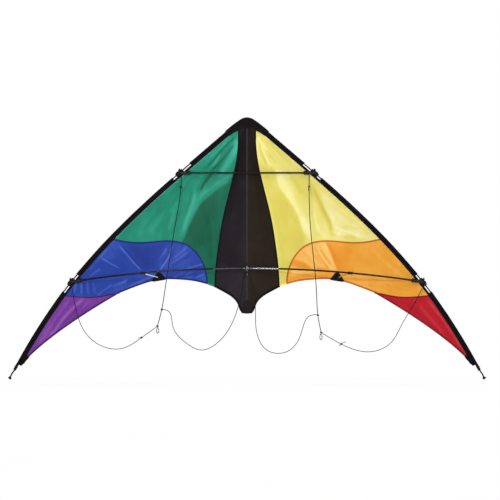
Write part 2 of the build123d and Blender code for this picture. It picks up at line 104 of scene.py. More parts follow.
# ------------------------------------------------------------------ curves
class Run:
    """A smooth line through points: natural cubic splines on chord length."""

    def __init__(self, points):
        self.p = np.array(points, float)
        gaps = np.linalg.norm(np.diff(self.p, axis=0), axis=1)
        self.t = np.concatenate([[0.0], np.cumsum(gaps)])
        n = len(self.p)
        self.m = np.zeros_like(self.p)
        if n > 2:
            a = np.zeros((n, n))
            b = np.zeros_like(self.p)
            a[0, 0] = a[-1, -1] = 1.0
            for i in range(1, n - 1):
                a[i, i - 1] = gaps[i - 1] / 6
                a[i, i] = (gaps[i - 1] + gaps[i]) / 3
                a[i, i + 1] = gaps[i] / 6
                b[i] = (self.p[i + 1] - self.p[i]) / gaps[i] - (self.p[i] - self.p[i - 1]) / gaps[i - 1]
            self.m = np.linalg.solve(a, b)
        fine = np.linspace(0, self.t[-1], max(200, n * 40))
        pts = self.at(fine)
        self.fine_t = fine
        self.fine_s = np.concatenate([[0.0], np.cumsum(np.linalg.norm(np.diff(pts, axis=0), axis=1))])
        self.length = float(self.fine_s[-1])

    def at(self, t):
        t = np.atleast_1d(np.asarray(t, float))
        i = np.clip(np.searchsorted(self.t, t, side="right") - 1, 0, len(self.t) - 2)
        h = (self.t[i + 1] - self.t[i])[:, None]
        u = ((self.t[i + 1] - t))[:, None]
        v = ((t - self.t[i]))[:, None]
        return (
            self.m[i] * u**3 / (6 * h) + self.m[i + 1] * v**3 / (6 * h)
            + (self.p[i] / h - self.m[i] * h / 6) * u + (self.p[i + 1] / h - self.m[i + 1] * h / 6) * v
        )

    def along(self, s):
        """Points at distances s along the line."""
        return self.at(np.interp(s, self.fine_s, self.fine_t))

    def sample(self, step):
        n = max(2, int(math.ceil(self.length / step)) + 1)
        return self.along(np.linspace(0, self.length, n))

    def where(self, z):
        """Distance along a falling run at which it passes a height."""
        pts = self.at(self.fine_t)
        return float(np.interp(-z, -pts[:, -1], self.fine_s))


def offset_inwards(points, distance):
    moved = []
    for i, (x, z) in enumerate(points):
        xa, za = points[max(i - 1, 0)]
        xb, zb = points[min(i + 1, len(points) - 1)]
        dx, dz = xb - xa, zb - za
        size = math.hypot(dx, dz)
        moved.append((x + dz / size * distance, z - dx / size * distance))
    return moved


LE_AXIS = Run(offset_inwards(LE_OUTER, 3.7))
LE_SEW = Run(offset_inwards(LE_OUTER, 12.6))
LE_INNER = Run(offset_inwards(LE_OUTER, 15.3))


def between(run, z_high, z_low, step=4.0):
    """The part of a falling run between two heights."""
    a, b = run.where(z_high), run.where(z_low)
    n = max(2, int(abs(b - a) / step) + 1)
    return [tuple(p) for p in run.along(np.linspace(a, b, n))]


def smooth(t):
    t = np.clip(t, 0, 1)
    return t * t * (3 - 2 * t)


def le_frame(z):
    """Axis point, direction and outward direction of the right leading edge at a height."""
    s = LE_AXIS.where(z)
    p = LE_AXIS.along([s])[0]
    q = LE_AXIS.along([s + 1.0])[0]
    d = (q - p) / np.linalg.norm(q - p)
    return p, d, np.array([-d[1], d[0]])


def spreader_point(x):
    return np.array([x, SPREADER_Y - SPREADER_BOW * math.sin(math.pi * x / 520.0), -SPREADER_SAG * (x / 492.0) ** 2])


# ------------------------------------------------------------------ the cloth's shape
# Creases: x0, z0, x1, z1, width at each end, depth (positive is away from the flyer), tone.
CREASES = {
    -1: [
        (34, 392, 101, 309, 3.5, 6.0, 1.7, -0.55), (44, 372, 118, 286, 4.0, 6.5, -1.5, 0.40),
        (45, 356, 142, 234, 4.0, 8.0, 2.2, -0.75), (30, 372, 84, 300, 4.0, 7.0, -1.8, 0.50),
        (38, 330, 78, 262, 5.0, 8.0, 1.0, -0.30), (90, 318, 172, 232, 5.0, 9.0, -1.2, 0.22),
        (60, 306, 200, 86, 13.0, 26.0, -3.2, 0.30), (146, 262, 186, 138, 5.0, 8.0, -1.4, 0.45),
        (118, 250, 150, 205, 4.0, 5.0, 1.1, -0.35), (205, 200, 330, 110, 10.0, 16.0, 1.2, -0.10),
        (150, 200, 120, 120, 9.0, 14.0, 1.4, -0.15), (110, 150, 104, 20, 9.0, 6.0, -0.9, 0.18),
        (381, 66, 322, 0, 2.2, 2.4, -1.0, 0.75), (438, 32, 384, 0, 2.2, 2.4, -0.9, 0.65),
        (226, 66, 262, -4, 2.6, 3.0, -1.0, 0.60), (171, 56, 232, 10, 2.6, 3.2, -0.9, 0.55),
        (190, 70, 246, 18, 2.4, 3.0, 0.8, -0.30), (127, 22, 216, -6, 2.6, 3.2, -0.9, 0.45),
        (128, -18, 208, -16, 2.4, 3.0, -0.7, 0.40), (150, 36, 206, 22, 2.2, 3.0, 0.7, -0.30),
        (478, -42, 356, -26, 2.4, 3.0, -0.8, 0.40), (455, -72, 372, -46, 2.4, 3.0, -0.8, 0.35),
        (300, 60, 292, 6, 5.0, 4.0, 0.9, -0.25), (505, -48, 420, -66, 2.4, 2.6, 0.7, 0.25),
        (512, -98, 600, -215, 7.0, 5.0, -1.2, 0.40), (470, -104, 560, -180, 6.0, 5.0, 1.0, -0.30),
        (530, -110, 570, -170, 4.0, 4.0, -0.9, 0.45),
    ],
    1: [
        (38, 382, 66, 314, 3.6, 5.5, -1.7, 0.70), (50, 370, 84, 322, 3.6, 5.0, -1.5, 0.75),
        (34, 372, 54, 300, 3.6, 6.0, 1.3, -0.30), (58, 346, 92, 298, 3.6, 6.0, 1.2, -0.35),
        (70, 318, 112, 226, 8.0, 13.0, -2.2, 0.62), (108, 232, 200, 82, 12.0, 20.0, -2.8, 0.60),
        (92, 290, 150, 190, 5.0, 6.0, 1.2, 0.35), (182, 240, 266, 86, 8.0, 12.0, 2.0, -0.30),
        (196, 252, 300, 130, 9.0, 15.0, -1.6, 0.52), (250, 196, 372, 104, 7.0, 10.0, -1.2, 0.50),
        (262, 128, 352, 96, 4.0, 5.0, 1.0, -0.25), (236, 110, 330, 88, 4.0, 6.0, -0.8, 0.30),
        (214, 80, 266, -4, 10.0, 4.0, -1.7, 0.80), (238, 80, 282, 6, 3.0, 3.0, 1.4, -0.30),
        (134, 24, 250, -8, 2.6, 4.0, -1.0, 0.40), (126, -10, 244, -14, 3.2, 4.0, 0.9, -0.25),
        (128, -42, 236, -22, 3.2, 4.0, -0.8, 0.42), (160, 48, 244, 4, 3.2, 4.4, 1.0, -0.30),
        (180, 60, 250, 6, 3.0, 4.4, -1.0, 0.42), (300, 10, 420, -40, 8.0, 9.0, -1.0, 0.18),
        (430, 20, 500, -50, 6.0, 6.0, 1.0, -0.12), (330, -20, 470, -70, 7.0, 7.0, 0.8, -0.15),
        (505, -98, 610, -228, 8.0, 5.0, -1.3, 0.35), (455, -98, 560, -182, 6.0, 5.0, 0.9, -0.22),
    ],
}


# Painted highlights and painted shade along folds: tone, width towards the spine, width away from it, points.
# Millimetres.
STROKES = {
    (-1, "upper"): [
        (-0.6, 1.8, 3.0, [(31.8, 397.4), (51, 379.4), (68.5, 362.4), (83.5, 344.9), (101, 324.9), (121, 301.1)]),
        (-0.75, 2.6, 2.6, [(37.2, 373.6), (56, 348.6), (71, 331.1), (91, 308.6), (107.2, 293.6)]),
        (-1.1, 4.4, 3.2, [(104.8, 287.4), (118.5, 269.9), (131, 253.6), (140.5, 234.4)]),
        (-0.35, 2.0, 4.0, [(71, 327.4), (81, 309.9), (91, 293.6)]),
        (0.8, 8.5, 9.5, [(27, 393.6), (32.2, 362.4), (46.5, 332.4), (63, 304.9), (81, 279.9)]),
        (0.32, 5.0, 7.0, [(38.5, 284.9), (68.5, 269.9), (91, 252.4), (113.5, 237.4), (131, 218.6)]),
        (0.6, 2.6, 2.4, [(78.5, 344.9), (89.8, 327.4), (103.5, 304.9)]),
        (0.28, 9.0, 9.0, [(46, 394.9), (81, 362.4), (118.5, 334.9), (148.5, 312.4), (181, 284.9)]),
        (0.5, 5.0, 4.0, [(156, 234.1), (159, 209.9), (169.8, 179.9), (181.5, 149.9), (193.5, 112.4)]),
        (0.3, 1.2, 11.0, [(113.5, 241.1), (131, 221.1), (143.5, 203.6), (153.5, 183.6), (171, 149.9), (188.5, 112.4), (201, 84.9)]),
        (-0.3, 2.0, 3.0, [(165.5, 232.4), (172.2, 204.9), (183.5, 174.9)]),
        (-0.25, 3.0, 3.0, [(148.5, 284.9), (171, 264.9), (198.5, 224.9), (221, 192.4)]),
        (-0.25, 3.0, 3.0, [(173.5, 284.9), (201, 254.9), (226, 224.9)]),
        (0.25, 4.0, 4.0, [(201, 219.9), (216, 192.4), (231, 167.4)]),
        (-0.28, 2.4, 2.4, [(203.5, 172.4), (216, 134.9), (226, 99.9)]),
        (0.3, 3.0, 3.0, [(216, 179.9), (226, 149.9), (238.5, 112.4)]),
        (0.22, 5.0, 5.0, [(246, 174.9), (271, 134.9), (293.5, 104.9)]),
        (-0.22, 4.0, 4.0, [(261, 179.9), (288.5, 142.4), (313.5, 112.4)]),
    ],
    (-1, "middle"): [
        (0.8, 1.2, 1.2, [(384, 68.4), (366, 45.9), (348, 24.3), (328.5, 2.4), (319.5, -5.7)]),
        (-0.45, 3.0, 1.6, [(376.5, 69.9), (358.5, 45.9), (340.5, 24.9), (321, 2.4)]),
        (0.65, 1.3, 1.3, [(438, 30.9), (408, 12.9), (379.5, -2.7)]),
        (0.72, 1.8, 1.5, [(224.4, 71.4), (237, 33.9), (250.5, 12.9), (262.5, -5.1)]),
        (0.45, 1.8, 1.8, [(243, 60.9), (253.5, 42.9), (267, 24.9)]),
        (-0.4, 2.2, 2.2, [(231, 54.9), (243, 32.4), (256.5, 12.9)]),
        (0.30, 1.5, 1.5, [(174, 51.9), (201, 32.4), (231, 12.3)]),
        (0.32, 2.0, 2.0, [(177, 68.4), (195, 51.9), (222, 29.4)]),
        (-0.35, 2.0, 2.0, [(165, 42.9), (192, 27.9), (222, 8.4)]),
        (0.55, 1.4, 1.4, [(127.5, 13.8), (156, 6.9), (177, -1.5), (216, -5.1)]),
        (0.45, 1.4, 1.4, [(129, -15.6), (156, -30.6)]),
        (0.5, 1.6, 1.6, [(189, -11.7), (222, -27.6)]),
        (0.35, 1.4, 1.4, [(159, -8.1), (186, -20.1)]),
        (0.45, 2.6, 3.0, [(276, -19.5), (312, -36.6), (348, -53.1), (381, -76.5)]),
        (0.45, 1.6, 1.6, [(406.5, -49.2), (432, -66.6), (453, -84.6)]),
        (0.35, 2.2, 2.2, [(357, -32.1), (384, -47.1), (408, -56.1)]),
        (0.28, 1.4, 1.4, [(514.5, -41.1), (516, -59.1), (519, -75.6)]),
        (-0.4, 1.4, 1.4, [(505.5, -41.1), (506.4, -59.1), (508.2, -77.1)]),
        (0.34, 1.5, 1.5, [(496.5, -41.1), (497.4, -59.1), (498.6, -77.1)]),
        (-0.45, 1.4, 1.4, [(489, -41.1), (489, -59.1), (489.6, -78.6)]),
        (0.36, 1.5, 1.5, [(480.6, -39.6), (479.4, -59.1), (477.6, -78.6)]),
        (-0.4, 1.4, 1.4, [(472.5, -39.6), (470.4, -59.1), (468, -78.6)]),
        (0.28, 1.5, 1.5, [(464.4, -39.6), (460.8, -59.1), (456, -78.6)]),
        (0.4, 2.0, 2.0, [(439.5, 0.9), (474, -26.1)]),
        (0.3, 2.0, 2.0, [(417, 60.9), (447, 24.9), (474, -8.1)]),
        (-0.3, 6.0, 6.0, [(456, -20.1), (396, -20.1), (336, -20.1)]),
        (0.25, 1.6, 1.6, [(297, 75.9), (309, 66.9), (315, 51.9)]),
    ],
    (1, "upper"): [
        (0.65, 2.4, 2.0, [(30.6, 396.9), (48, 369.9), (67.5, 344.4), (91.5, 308.4)]),
        (0.8, 2.4, 2.0, [(39, 368.4), (51, 347.4), (63, 323.4), (70.2, 307.5)]),
        (-0.8, 1.6, 2.0, [(59.4, 356.4), (73.5, 335.4), (87.6, 315.9)]),
        (-0.6, 2.0, 2.2, [(34.2, 372.9), (45.6, 339.9), (57, 311.4)]),
        (0.45, 3.0, 3.0, [(28.8, 390.9), (32.4, 354.9), (39, 321.9)]),
        (0.62, 3.0, 14.0, [(87.6, 300.9), (91.5, 273.9), (99, 246.3), (117.6, 222.9), (138.6, 192.9), (156, 159.9), (165, 129.9), (180.6, 93.9)]),
        (0.3, 9.0, 9.0, [(99, 279.9), (123, 249.9), (144, 216.9)]),
        (0.45, 8.0, 8.0, [(165, 159.9), (180, 126.9), (189, 96.9)]),
        (0.3, 4.0, 4.0, [(85.5, 297.9), (108, 285.9), (129, 273.9)]),
        (-0.7, 6.0, 2.6, [(201, 240.9), (216, 207.9), (231.6, 174.9), (249, 141.9), (256.8, 102.9)]),
        (-0.35, 8.0, 4.0, [(129, 279.9), (150, 252.9), (165, 222.9)]),
        (0.42, 3.0, 22.0, [(219, 219.9), (237, 183.9), (258, 141.9), (267, 105.9)]),
        (0.25, 14.0, 14.0, [(264, 174.9), (303, 135.9), (345, 102.9)]),
        (-0.3, 3.0, 3.0, [(288, 126.9), (312, 123.9), (336, 117.9)]),
        (-0.45, 4.0, 5.0, [(291, 93.9), (309, 95.4), (327, 90.9)]),
        (0.4, 5.0, 5.0, [(270, 93.9), (282, 111.9), (309, 108.9), (348, 96.9)]),
        (0.35, 3.0, 3.0, [(201, 171.9), (207, 141.9), (219, 111.9)]),
        (0.3, 6.0, 8.0, [(207, 129.9), (225, 105.9), (237, 90.9)]),
    ],
    (1, "middle"): [
        (0.45, 9.0, 1.0, [(234.6, 79.5), (249, 48.9), (261, 18.9), (272.4, -6.6)]),
        (0.35, 2.6, 2.6, [(214.5, 54.9), (231, 27.9), (258, -2.1)]),
        (-0.55, 1.4, 1.6, [(220.5, 56.4), (234, 36.9), (255, 6.9)]),
        (-0.35, 1.6, 1.6, [(202.5, 66.9), (225, 27.9), (246, 0.9)]),
        (-0.35, 1.0, 12.0, [(240, 77.4), (253.5, 48.9), (265.5, 18.9), (276, -6.6)]),
        (0.25, 2.4, 2.4, [(174, 63.9), (198, 30.9), (225, 2.4)]),
        (-0.25, 1.6, 1.6, [(163.5, 54.9), (189, 24.9), (219, -2.1)]),
        (0.15, 3.0, 3.0, [(387, -11.1), (417, -35.1), (447, -59.1)]),
        (0.18, 4.0, 4.0, [(369, 63.9), (414, 18.9), (459, -20.1)]),
        (-0.15, 8.0, 8.0, [(294, 66.9), (339, 30.9), (384, 6.9)]),
        (0.4, 2.0, 2.0, [(513, -71.1), (525, -59.1)]),
        (0.25, 3.0, 3.0, [(309, -41.1), (369, -59.1), (429, -71.1)]),
    ],
    (-1, "tip"): [
        (0.75, 4.0, 3.2, [(496, -90.1), (526, -121.8), (552.7, -151.8), (576, -185.1), (597.7, -211.8)]),
        (-0.45, 2.2, 2.2, [(507.7, -120.1), (536, -148.4), (559.3, -171.8)]),
        (0.5, 1.8, 1.8, [(492.7, -92.4), (509.3, -111.8)]),
        (-0.3, 2.6, 2.6, [(522.7, -95.1), (552.7, -131.8), (582.7, -171.8)]),
        (0.3, 3.0, 3.0, [(479.3, -101.8), (496, -121.8), (519.3, -145.1)]),
        (0.25, 4.0, 4.0, [(529.3, -88.4), (559.3, -128.4), (592.7, -178.4), (629.3, -235.1)]),
    ],
    (1, "tip"): [
        (0.55, 2.2, 3.0, [(537.3, -90.1), (585.7, -151.8), (632.3, -221.8), (659, -261.8)]),
        (0.25, 5.0, 5.0, [(499, -91.8), (545.7, -145.1), (599, -205.1)]),
        (-0.25, 5.0, 6.0, [(479, -101.8), (525.7, -145.1), (585.7, -198.4)]),
        (0.22, 3.0, 3.0, [(569, -178.4), (605.7, -218.4), (639, -251.8)]),
    ],
}
# Painted light and shade over patches of cloth that lie at another angle: tone, softness of their edge, outline.
ZONES = {
    (-1, "upper"): [
        (-0.82, 3.4, [(33.5, 292.4), (56, 258.6), (81, 243.4), (106, 223.9), (131, 204.4), (143.5, 186.9), (156, 164.4), (173, 129.4), (188, 94.4), (203.5, 64.9), (203.5, -65.1), (71, -65.1), (66, 69.9), (66, 94.9), (58.5, 144.9), (48.5, 194.9), (33.5, 247.4), (23.5, 282.4)]),
        (-0.16, 9.0, [(78.5, 229.9), (106, 214.9), (129.8, 198.6), (143, 182.4), (156, 157.4), (172, 122.4), (183.5, 94.9), (193.5, 72.4), (126, 69.9), (118.5, 107.4), (101, 157.4), (81, 199.9)]),
        (-0.16, 6.0, [(123.5, 197.4), (138.5, 177.4), (151, 149.9), (166, 119.9), (156, 94.9), (131, 119.9), (113.5, 164.9)]),
    ],
    (-1, "middle"): [
        (-0.5, 14.0, [(360, 72.9), (249, 72.9), (258, 39.9), (276, 0.9), (312, -2.1), (336, 24.9)]),
        (-0.35, 8.0, [(249, -5.1), (126, 0.9), (126, -11.1), (198, -23.1), (240, -26.1)]),
        (0.05, 12.0, [(222, 72.9), (162, 60.9), (126, 24.9), (180, 0.9), (240, 0.9)]),
        (-0.18, 12.0, [(462, 9.9), (390, 27.9), (336, -5.1), (408, -17.1)]),
    ],
    (1, "upper"): [
        (-0.5, 9.0, [(37.5, 309.9), (84, 297.9), (87.6, 270.9), (97.5, 237.9), (117, 210.9), (138, 183.9), (153, 153.9), (162, 123.9), (177, 84.9), (165, 51.9), (135, -62.1), (93, -80.1), (99, 39.9), (85.5, 117.9), (73.5, 180.9), (57, 237.9), (45, 285.9)]),
        (-0.3, 10.0, [(127.5, 285.9), (177, 285.9), (186, 261.9), (201, 237.9), (189, 201.9), (165, 219.9), (147, 249.9)]),
        (0.28, 14.0, [(219, 231.9), (384, 87.9), (267, 87.9), (249, 147.9)]),
    ],
    (1, "middle"): [
        (0.48, 5.0, [(141, 27.9), (159, 54.9), (195, 72.9), (202.5, 75.3), (240, 3.9), (195, -2.1), (171, 18.9)]),
        (0.5, 3.0, [(202.5, 75.3), (234.6, 78.9), (271.5, -7.5), (249, -6.6), (225, 30.9)]),
        (-0.4, 5.0, [(144, 24.3), (174, 15.9), (201, -4.5), (159, 0.9), (132, 12.9)]),
        (0.55, 4.0, [(132.6, 5.4), (159, 0.3), (219, -8.1), (189, -14.7), (159, -18.6), (132, -23.1)]),
        (-0.2, 5.0, [(130.5, -24.6), (189, -18.6), (261, -15.6), (255, -32.1), (189, -32.7), (132, -45.6)]),
        (-0.25, 16.0, [(243, 72.9), (309, 66.9), (315, -11.1), (276, -8.1)]),
    ],
    (-1, "tip"): [
        (-0.25, 8.0, [(479.3, -111.8), (472.7, -125.1), (559.3, -191.8), (626, -238.4), (586, -205.1)]),
    ],
    (1, "tip"): [
        (-0.22, 7.0, [(459, -115.1), (532.3, -161.8), (645.7, -251.8), (625.7, -251.8), (519, -171.8)]),
    ],
}


def polar(x, z):
    r = np.hypot(x, APEX_Z - z)
    k = r / 1000.0
    edge = sum(c * k**i for i, c in enumerate(LE_ANGLE))
    return r, np.clip(np.arctan2(x, APEX_Z - z) / edge, 0.0, 1.0)


def crease_profile(c, x, z):
    x0, z0, x1, z1, w0, w1 = c[:6]
    dx, dz = x1 - x0, z1 - z0
    t = ((x - x0) * dx + (z - z0) * dz) / (dx * dx + dz * dz)
    tc = np.clip(t, 0, 1)
    d = np.hypot(x - (x0 + tc * dx), z - (z0 + tc * dz))
    w = w0 + (w1 - w0) * tc
    return np.exp(-((d / w) ** 2)) * (0.25 + 0.75 * smooth(tc / 0.15)) * (0.3 + 0.7 * smooth((1 - tc) / 0.25))


def depth(side, x, z):
    """Front face of the cloth, millimetres behind the front plane; x is the distance from the spine."""
    x, z = np.asarray(x, float), np.asarray(z, float)
    r, s = polar(x, z)
    y = r * BILLOW * np.sin(np.pi * s**BILLOW_POWER)
    folds = np.zeros_like(y)
    for c in CREASES[side]:
        folds = folds + c[6] * crease_profile(c, x, z)
    a = np.arctan2(x, APEX_Z - z)
    folds = folds + 0.9 * np.sin(a * 34 + side) * np.exp(-np.abs(r - 150) / 110)
    folds = folds + 0.7 * np.sin(x * 0.031 + side * 1.3) * np.sin(z * 0.027 + x * 0.011)
    free = smooth((1 - s) * r * 0.85 / 20.0) * smooth((x - 14.0) / 22.0)
    near_foot = 1 - np.exp(-(((x - 266) / 16) ** 2 + ((z + 26) / 16) ** 2))
    return y + folds * free * near_foot


def nearest_on(points, x, z):
    """Distance to a line of points, the signed offset in x, and the share of the way along it."""
    p = np.array(points, float)
    seg = np.linalg.norm(np.diff(p, axis=0), axis=1)
    s0 = np.concatenate([[0.0], np.cumsum(seg)])
    best, off, way = np.full(x.shape, 1e9), np.zeros_like(x), np.zeros_like(x)
    for i in range(len(p) - 1):
        d = p[i + 1] - p[i]
        t = np.clip(((x - p[i][0]) * d[0] + (z - p[i][1]) * d[1]) / max(d @ d, 1e-9), 0, 1)
        nx, nz = p[i][0] + t * d[0], p[i][1] + t * d[1]
        dist = np.hypot(x - nx, z - nz)
        take = dist < best
        best = np.where(take, dist, best)
        off = np.where(take, x - nx, off)
        way = np.where(take, (s0[i] + t * seg[i]) / s0[-1], way)
    return best, off, way


def painted_fold_shading(side, part, x, z):
    """Painted light and shade of a panel's folds, from -1 to 1."""
    x, z = np.asarray(x, float), np.asarray(z, float)
    out = np.zeros_like(x)
    here = np.column_stack([x, z])
    for value, soft, outline in ZONES[side, part]:
        d = edge_distance(here, outline) * np.where(inside(here, outline), 1.0, -1.0)
        out = out + value * smooth(0.5 + d / (2 * soft))
    for value, inner, outer, points in STROKES[side, part]:
        d, off, way = nearest_on(points, x, z)
        w = np.where(off < 0, inner, outer) + 0.6
        out = out + value * np.exp(-((d / w) ** 2)) * (0.2 + 0.8 * smooth(way / 0.12)) * (0.35 + 0.65 * smooth((1 - way) / 0.12))
    r, s = polar(x, z)
    a = np.arctan2(x, APEX_Z - z)
    out = out + 0.10 * np.sin(a * 61 + side) * smooth((r - 60) / 60) * np.exp(-r / 260)
    return np.clip(out, -1.15, 1.15)


# ------------------------------------------------------------------ mesh helpers
def new_object(name, verts, faces, material, sharp=35.0, attributes=None):
    mesh = bpy.data.meshes.new(name)
    mesh.from_pydata([tuple(v) for v in verts], [], faces)
    bm = bmesh.new()
    bm.from_mesh(mesh)
    bmesh.ops.recalc_face_normals(bm, faces=bm.faces)
    bm.to_mesh(mesh)
    bm.free()
    for f in mesh.polygons:
        f.use_smooth = True
    mesh.set_sharp_from_angle(angle=math.radians(sharp))
    for key, values in (attributes or {}).items():
        a = mesh.attributes.new(key, "FLOAT", "POINT")
        a.data.foreach_set("value", np.asarray(values, np.float32))
    obj = bpy.data.objects.new(name, mesh)
    bpy.context.scene.collection.objects.link(obj)
    obj.data.materials.append(material)
    return obj


def inside(points, poly):
    x, z = points[:, 0], points[:, 1]
    hit = np.zeros(len(points), bool)
    n = len(poly)
    for i in range(n):
        x0, z0 = poly[i]
        x1, z1 = poly[(i + 1) % n]
        if z0 == z1:
            continue
        cross = ((z0 > z) != (z1 > z)) & (x < (x1 - x0) * (z - z0) / (z1 - z0) + x0)
        hit ^= cross
    return hit


def edge_distance(points, poly):
    best = np.full(len(points), 1e9)
    n = len(poly)
    for i in range(n):
        a, b = np.array(poly[i]), np.array(poly[(i + 1) % n])
        d = b - a
        size = max(d @ d, 1e-9)
        t = np.clip(((points - a) @ d) / size, 0, 1)
        best = np.minimum(best, np.linalg.norm(points - (a + t[:, None] * d), axis=1))
    return best


def densify(poly, step):
    out = []
    n = len(poly)
    for i in range(n):
        a, b = np.array(poly[i], float), np.array(poly[(i + 1) % n], float)
        k = max(1, int(round(np.linalg.norm(b - a) / step)))
        for j in range(k):
            out.append(tuple(a + (b - a) * j / k))
    clean = [out[0]]
    for p in out[1:]:
        if math.hypot(p[0] - clean[-1][0], p[1] - clean[-1][1]) > 0.25:
            clean.append(p)
    if math.hypot(clean[0][0] - clean[-1][0], clean[0][1] - clean[-1][1]) < 0.25:
        clean.pop()
    return clean


def fill(poly, step):
    """Triangles inside an outline, on a staggered grid."""
    edge = densify(poly, step)
    lo, hi = np.min(edge, axis=0), np.max(edge, axis=0)
    rows = []
    z, k = lo[1], 0
    while z < hi[1]:
        xs = np.arange(lo[0] + (step / 2 if k % 2 else 0), hi[0], step)
        rows.append(np.column_stack([xs, np.full(len(xs), z)]))
        z += step * 0.866
        k += 1
    grid = np.vstack(rows)
    grid = grid[inside(grid, edge)]
    grid = grid[edge_distance(grid, edge) > step * 0.55]
    points = [Vector(p) for p in edge] + [Vector(p) for p in grid]
    n = len(edge)
    v, _, f, *_ = delaunay_2d_cdt(points, [(i, (i + 1) % n) for i in range(n)], [list(range(n))], 1, 1e-4)
    return np.array([(p[0], p[1]) for p in v]), [tuple(t) for t in f]


def closed_sheet(name, side, poly, step, front, back, material, part=None):
    """A closed sheet over an outline, between a front and a back depth function of x and z."""
    v, f = fill(poly, step)
    yf, yb = front(v[:, 0], v[:, 1]), back(v[:, 0], v[:, 1])
    n = len(v)
    verts = [(side * v[i, 0] * MM, yf[i] * MM, v[i, 1] * MM) for i in range(n)]
    verts += [(side * v[i, 0] * MM, yb[i] * MM, v[i, 1] * MM) for i in range(n)]
    faces = list(f) + [tuple(n + i for i in reversed(t)) for t in f]
    count = {}
    for t in f:
        for i in range(len(t)):
            a, b = t[i], t[(i + 1) % len(t)]
            count[(a, b)] = count.get((a, b), 0) + 1
    for (a, b) in count:
        if (b, a) not in count:
            faces.append((b, a, n + a, n + b))
    attributes = None
    # the panel's painted light and shade of its folds is stored on its points
    if part:
        w = painted_fold_shading(side, part, v[:, 0], v[:, 1])
        attributes = {"painted_fold_shading": np.concatenate([w, w])}
    return new_object(name, verts, faces, material, attributes=attributes)


def side_normals(path):
    """Unit normals of a 2-D path, on its left."""
    p = np.array(path, float)
    d = np.gradient(p, axis=0)
    d /= np.maximum(np.linalg.norm(d, axis=1), 1e-9)[:, None]
    return np.column_stack([-d[:, 1], d[:, 0]])


def band(name, side, path, offsets, lifts, material, cloth=CLOTH, y_of=None):
    """A sewn strip that wraps the cloth on both faces, following a path on the sail."""
    p = np.array(path, float)
    nrm = side_normals(path)
    y_of = y_of or (lambda x, z: depth(side, x, z))
    verts, faces = [], []
    m = len(offsets)
    for i in range(len(p)):
        q = p[i] + np.outer(offsets, nrm[i])
        y = y_of(np.maximum(q[:, 0], 0), q[:, 1])
        for j in range(m):
            verts.append((side * q[j, 0] * MM, (y[j] - lifts[j]) * MM, q[j, 1] * MM))
        for j in reversed(range(m)):
            verts.append((side * q[j, 0] * MM, (y[j] + cloth + lifts[j]) * MM, q[j, 1] * MM))
    k = 2 * m
    for i in range(len(p) - 1):
        for j in range(k):
            faces.append((i * k + j, i * k + (j + 1) % k, (i + 1) * k + (j + 1) % k, (i + 1) * k + j))
    faces.append(tuple(range(k)))
    faces.append(tuple(reversed(range((len(p) - 1) * k, len(p) * k))))
    return new_object(name, verts, faces, material, sharp=50)


class Stitches:
    """Rows of thread lying on cloth, gathered into one mesh."""

    def __init__(self):
        self.v, self.f = [], []

    def thread(self, a, b, lift_dir, width=0.55, height=0.35):
        """One stitch from a to b: a rounded lozenge that dips in at both ends."""
        a, b, up = np.array(a, float), np.array(b, float), np.array(lift_dir, float)
        d = b - a
        size = np.linalg.norm(d)
        if size < 0.2:
            return
        d = d / size
        across = np.cross(d, up)
        across /= max(np.linalg.norm(across), 1e-9)
        base = len(self.v)
        self.v.append(tuple((a - up * 0.12) * MM))
        for t in (0.2, 0.8):
            c = a + d * size * t
            for q in (across * width / 2, up * height, -across * width / 2, -up * 0.15):
                self.v.append(tuple((c + q) * MM))
        self.v.append(tuple((b - up * 0.12) * MM))
        for j in range(4):
            k = (j + 1) % 4
            self.f.append((base, base + 1 + j, base + 1 + k))
            self.f.append((base + 1 + j, base + 5 + j, base + 5 + k, base + 1 + k))
            self.f.append((base + 5 + j, base + 9, base + 5 + k))

    def row(self, side, path, offset, pitch, lift, zigzag=0.0, gap=0.72, both=True, cloth=CLOTH, y_of=None, width=0.55):
        """A row along a path on the sail. zigzag is half the width of a zigzag row."""
        p = np.array(path, float)
        seg = np.concatenate([[0], np.cumsum(np.linalg.norm(np.diff(p, axis=0), axis=1))])
        n = int(seg[-1] / pitch)
        nrm = side_normals(path)
        y_of = y_of or (lambda x, z: depth(side, x, z))
        for i in range(n):
            s0, s1 = i * pitch + pitch * 0.1, i * pitch + pitch * (0.1 + gap)
            ends = []
            for s, sign in ((s0, 1 if i % 2 else -1), (s1 if not zigzag else (i + 1.1) * pitch, -1 if i % 2 else 1)):
                s = min(s, seg[-1])
                q = np.array([np.interp(s, seg, p[:, 0]), np.interp(s, seg, p[:, 1])])
                m = np.array([np.interp(s, seg, nrm[:, 0]), np.interp(s, seg, nrm[:, 1])])
                ends.append(q + m * (offset + zigzag * sign))
            ys = y_of(np.array([max(e[0], 0) for e in ends]), np.array([e[1] for e in ends]))
            front = [(side * ends[j][0], ys[j] - lift, ends[j][1]) for j in (0, 1)]
            self.thread(front[0], front[1], (0, -1, 0), width)
            if both:
                back = [(side * ends[j][0], ys[j] + cloth + lift, ends[j][1]) for j in (0, 1)]
                self.thread(back[0], back[1], (0, 1, 0), width)

    def build(self, name, material):
        return new_object(name, self.v, self.f, material, sharp=70)


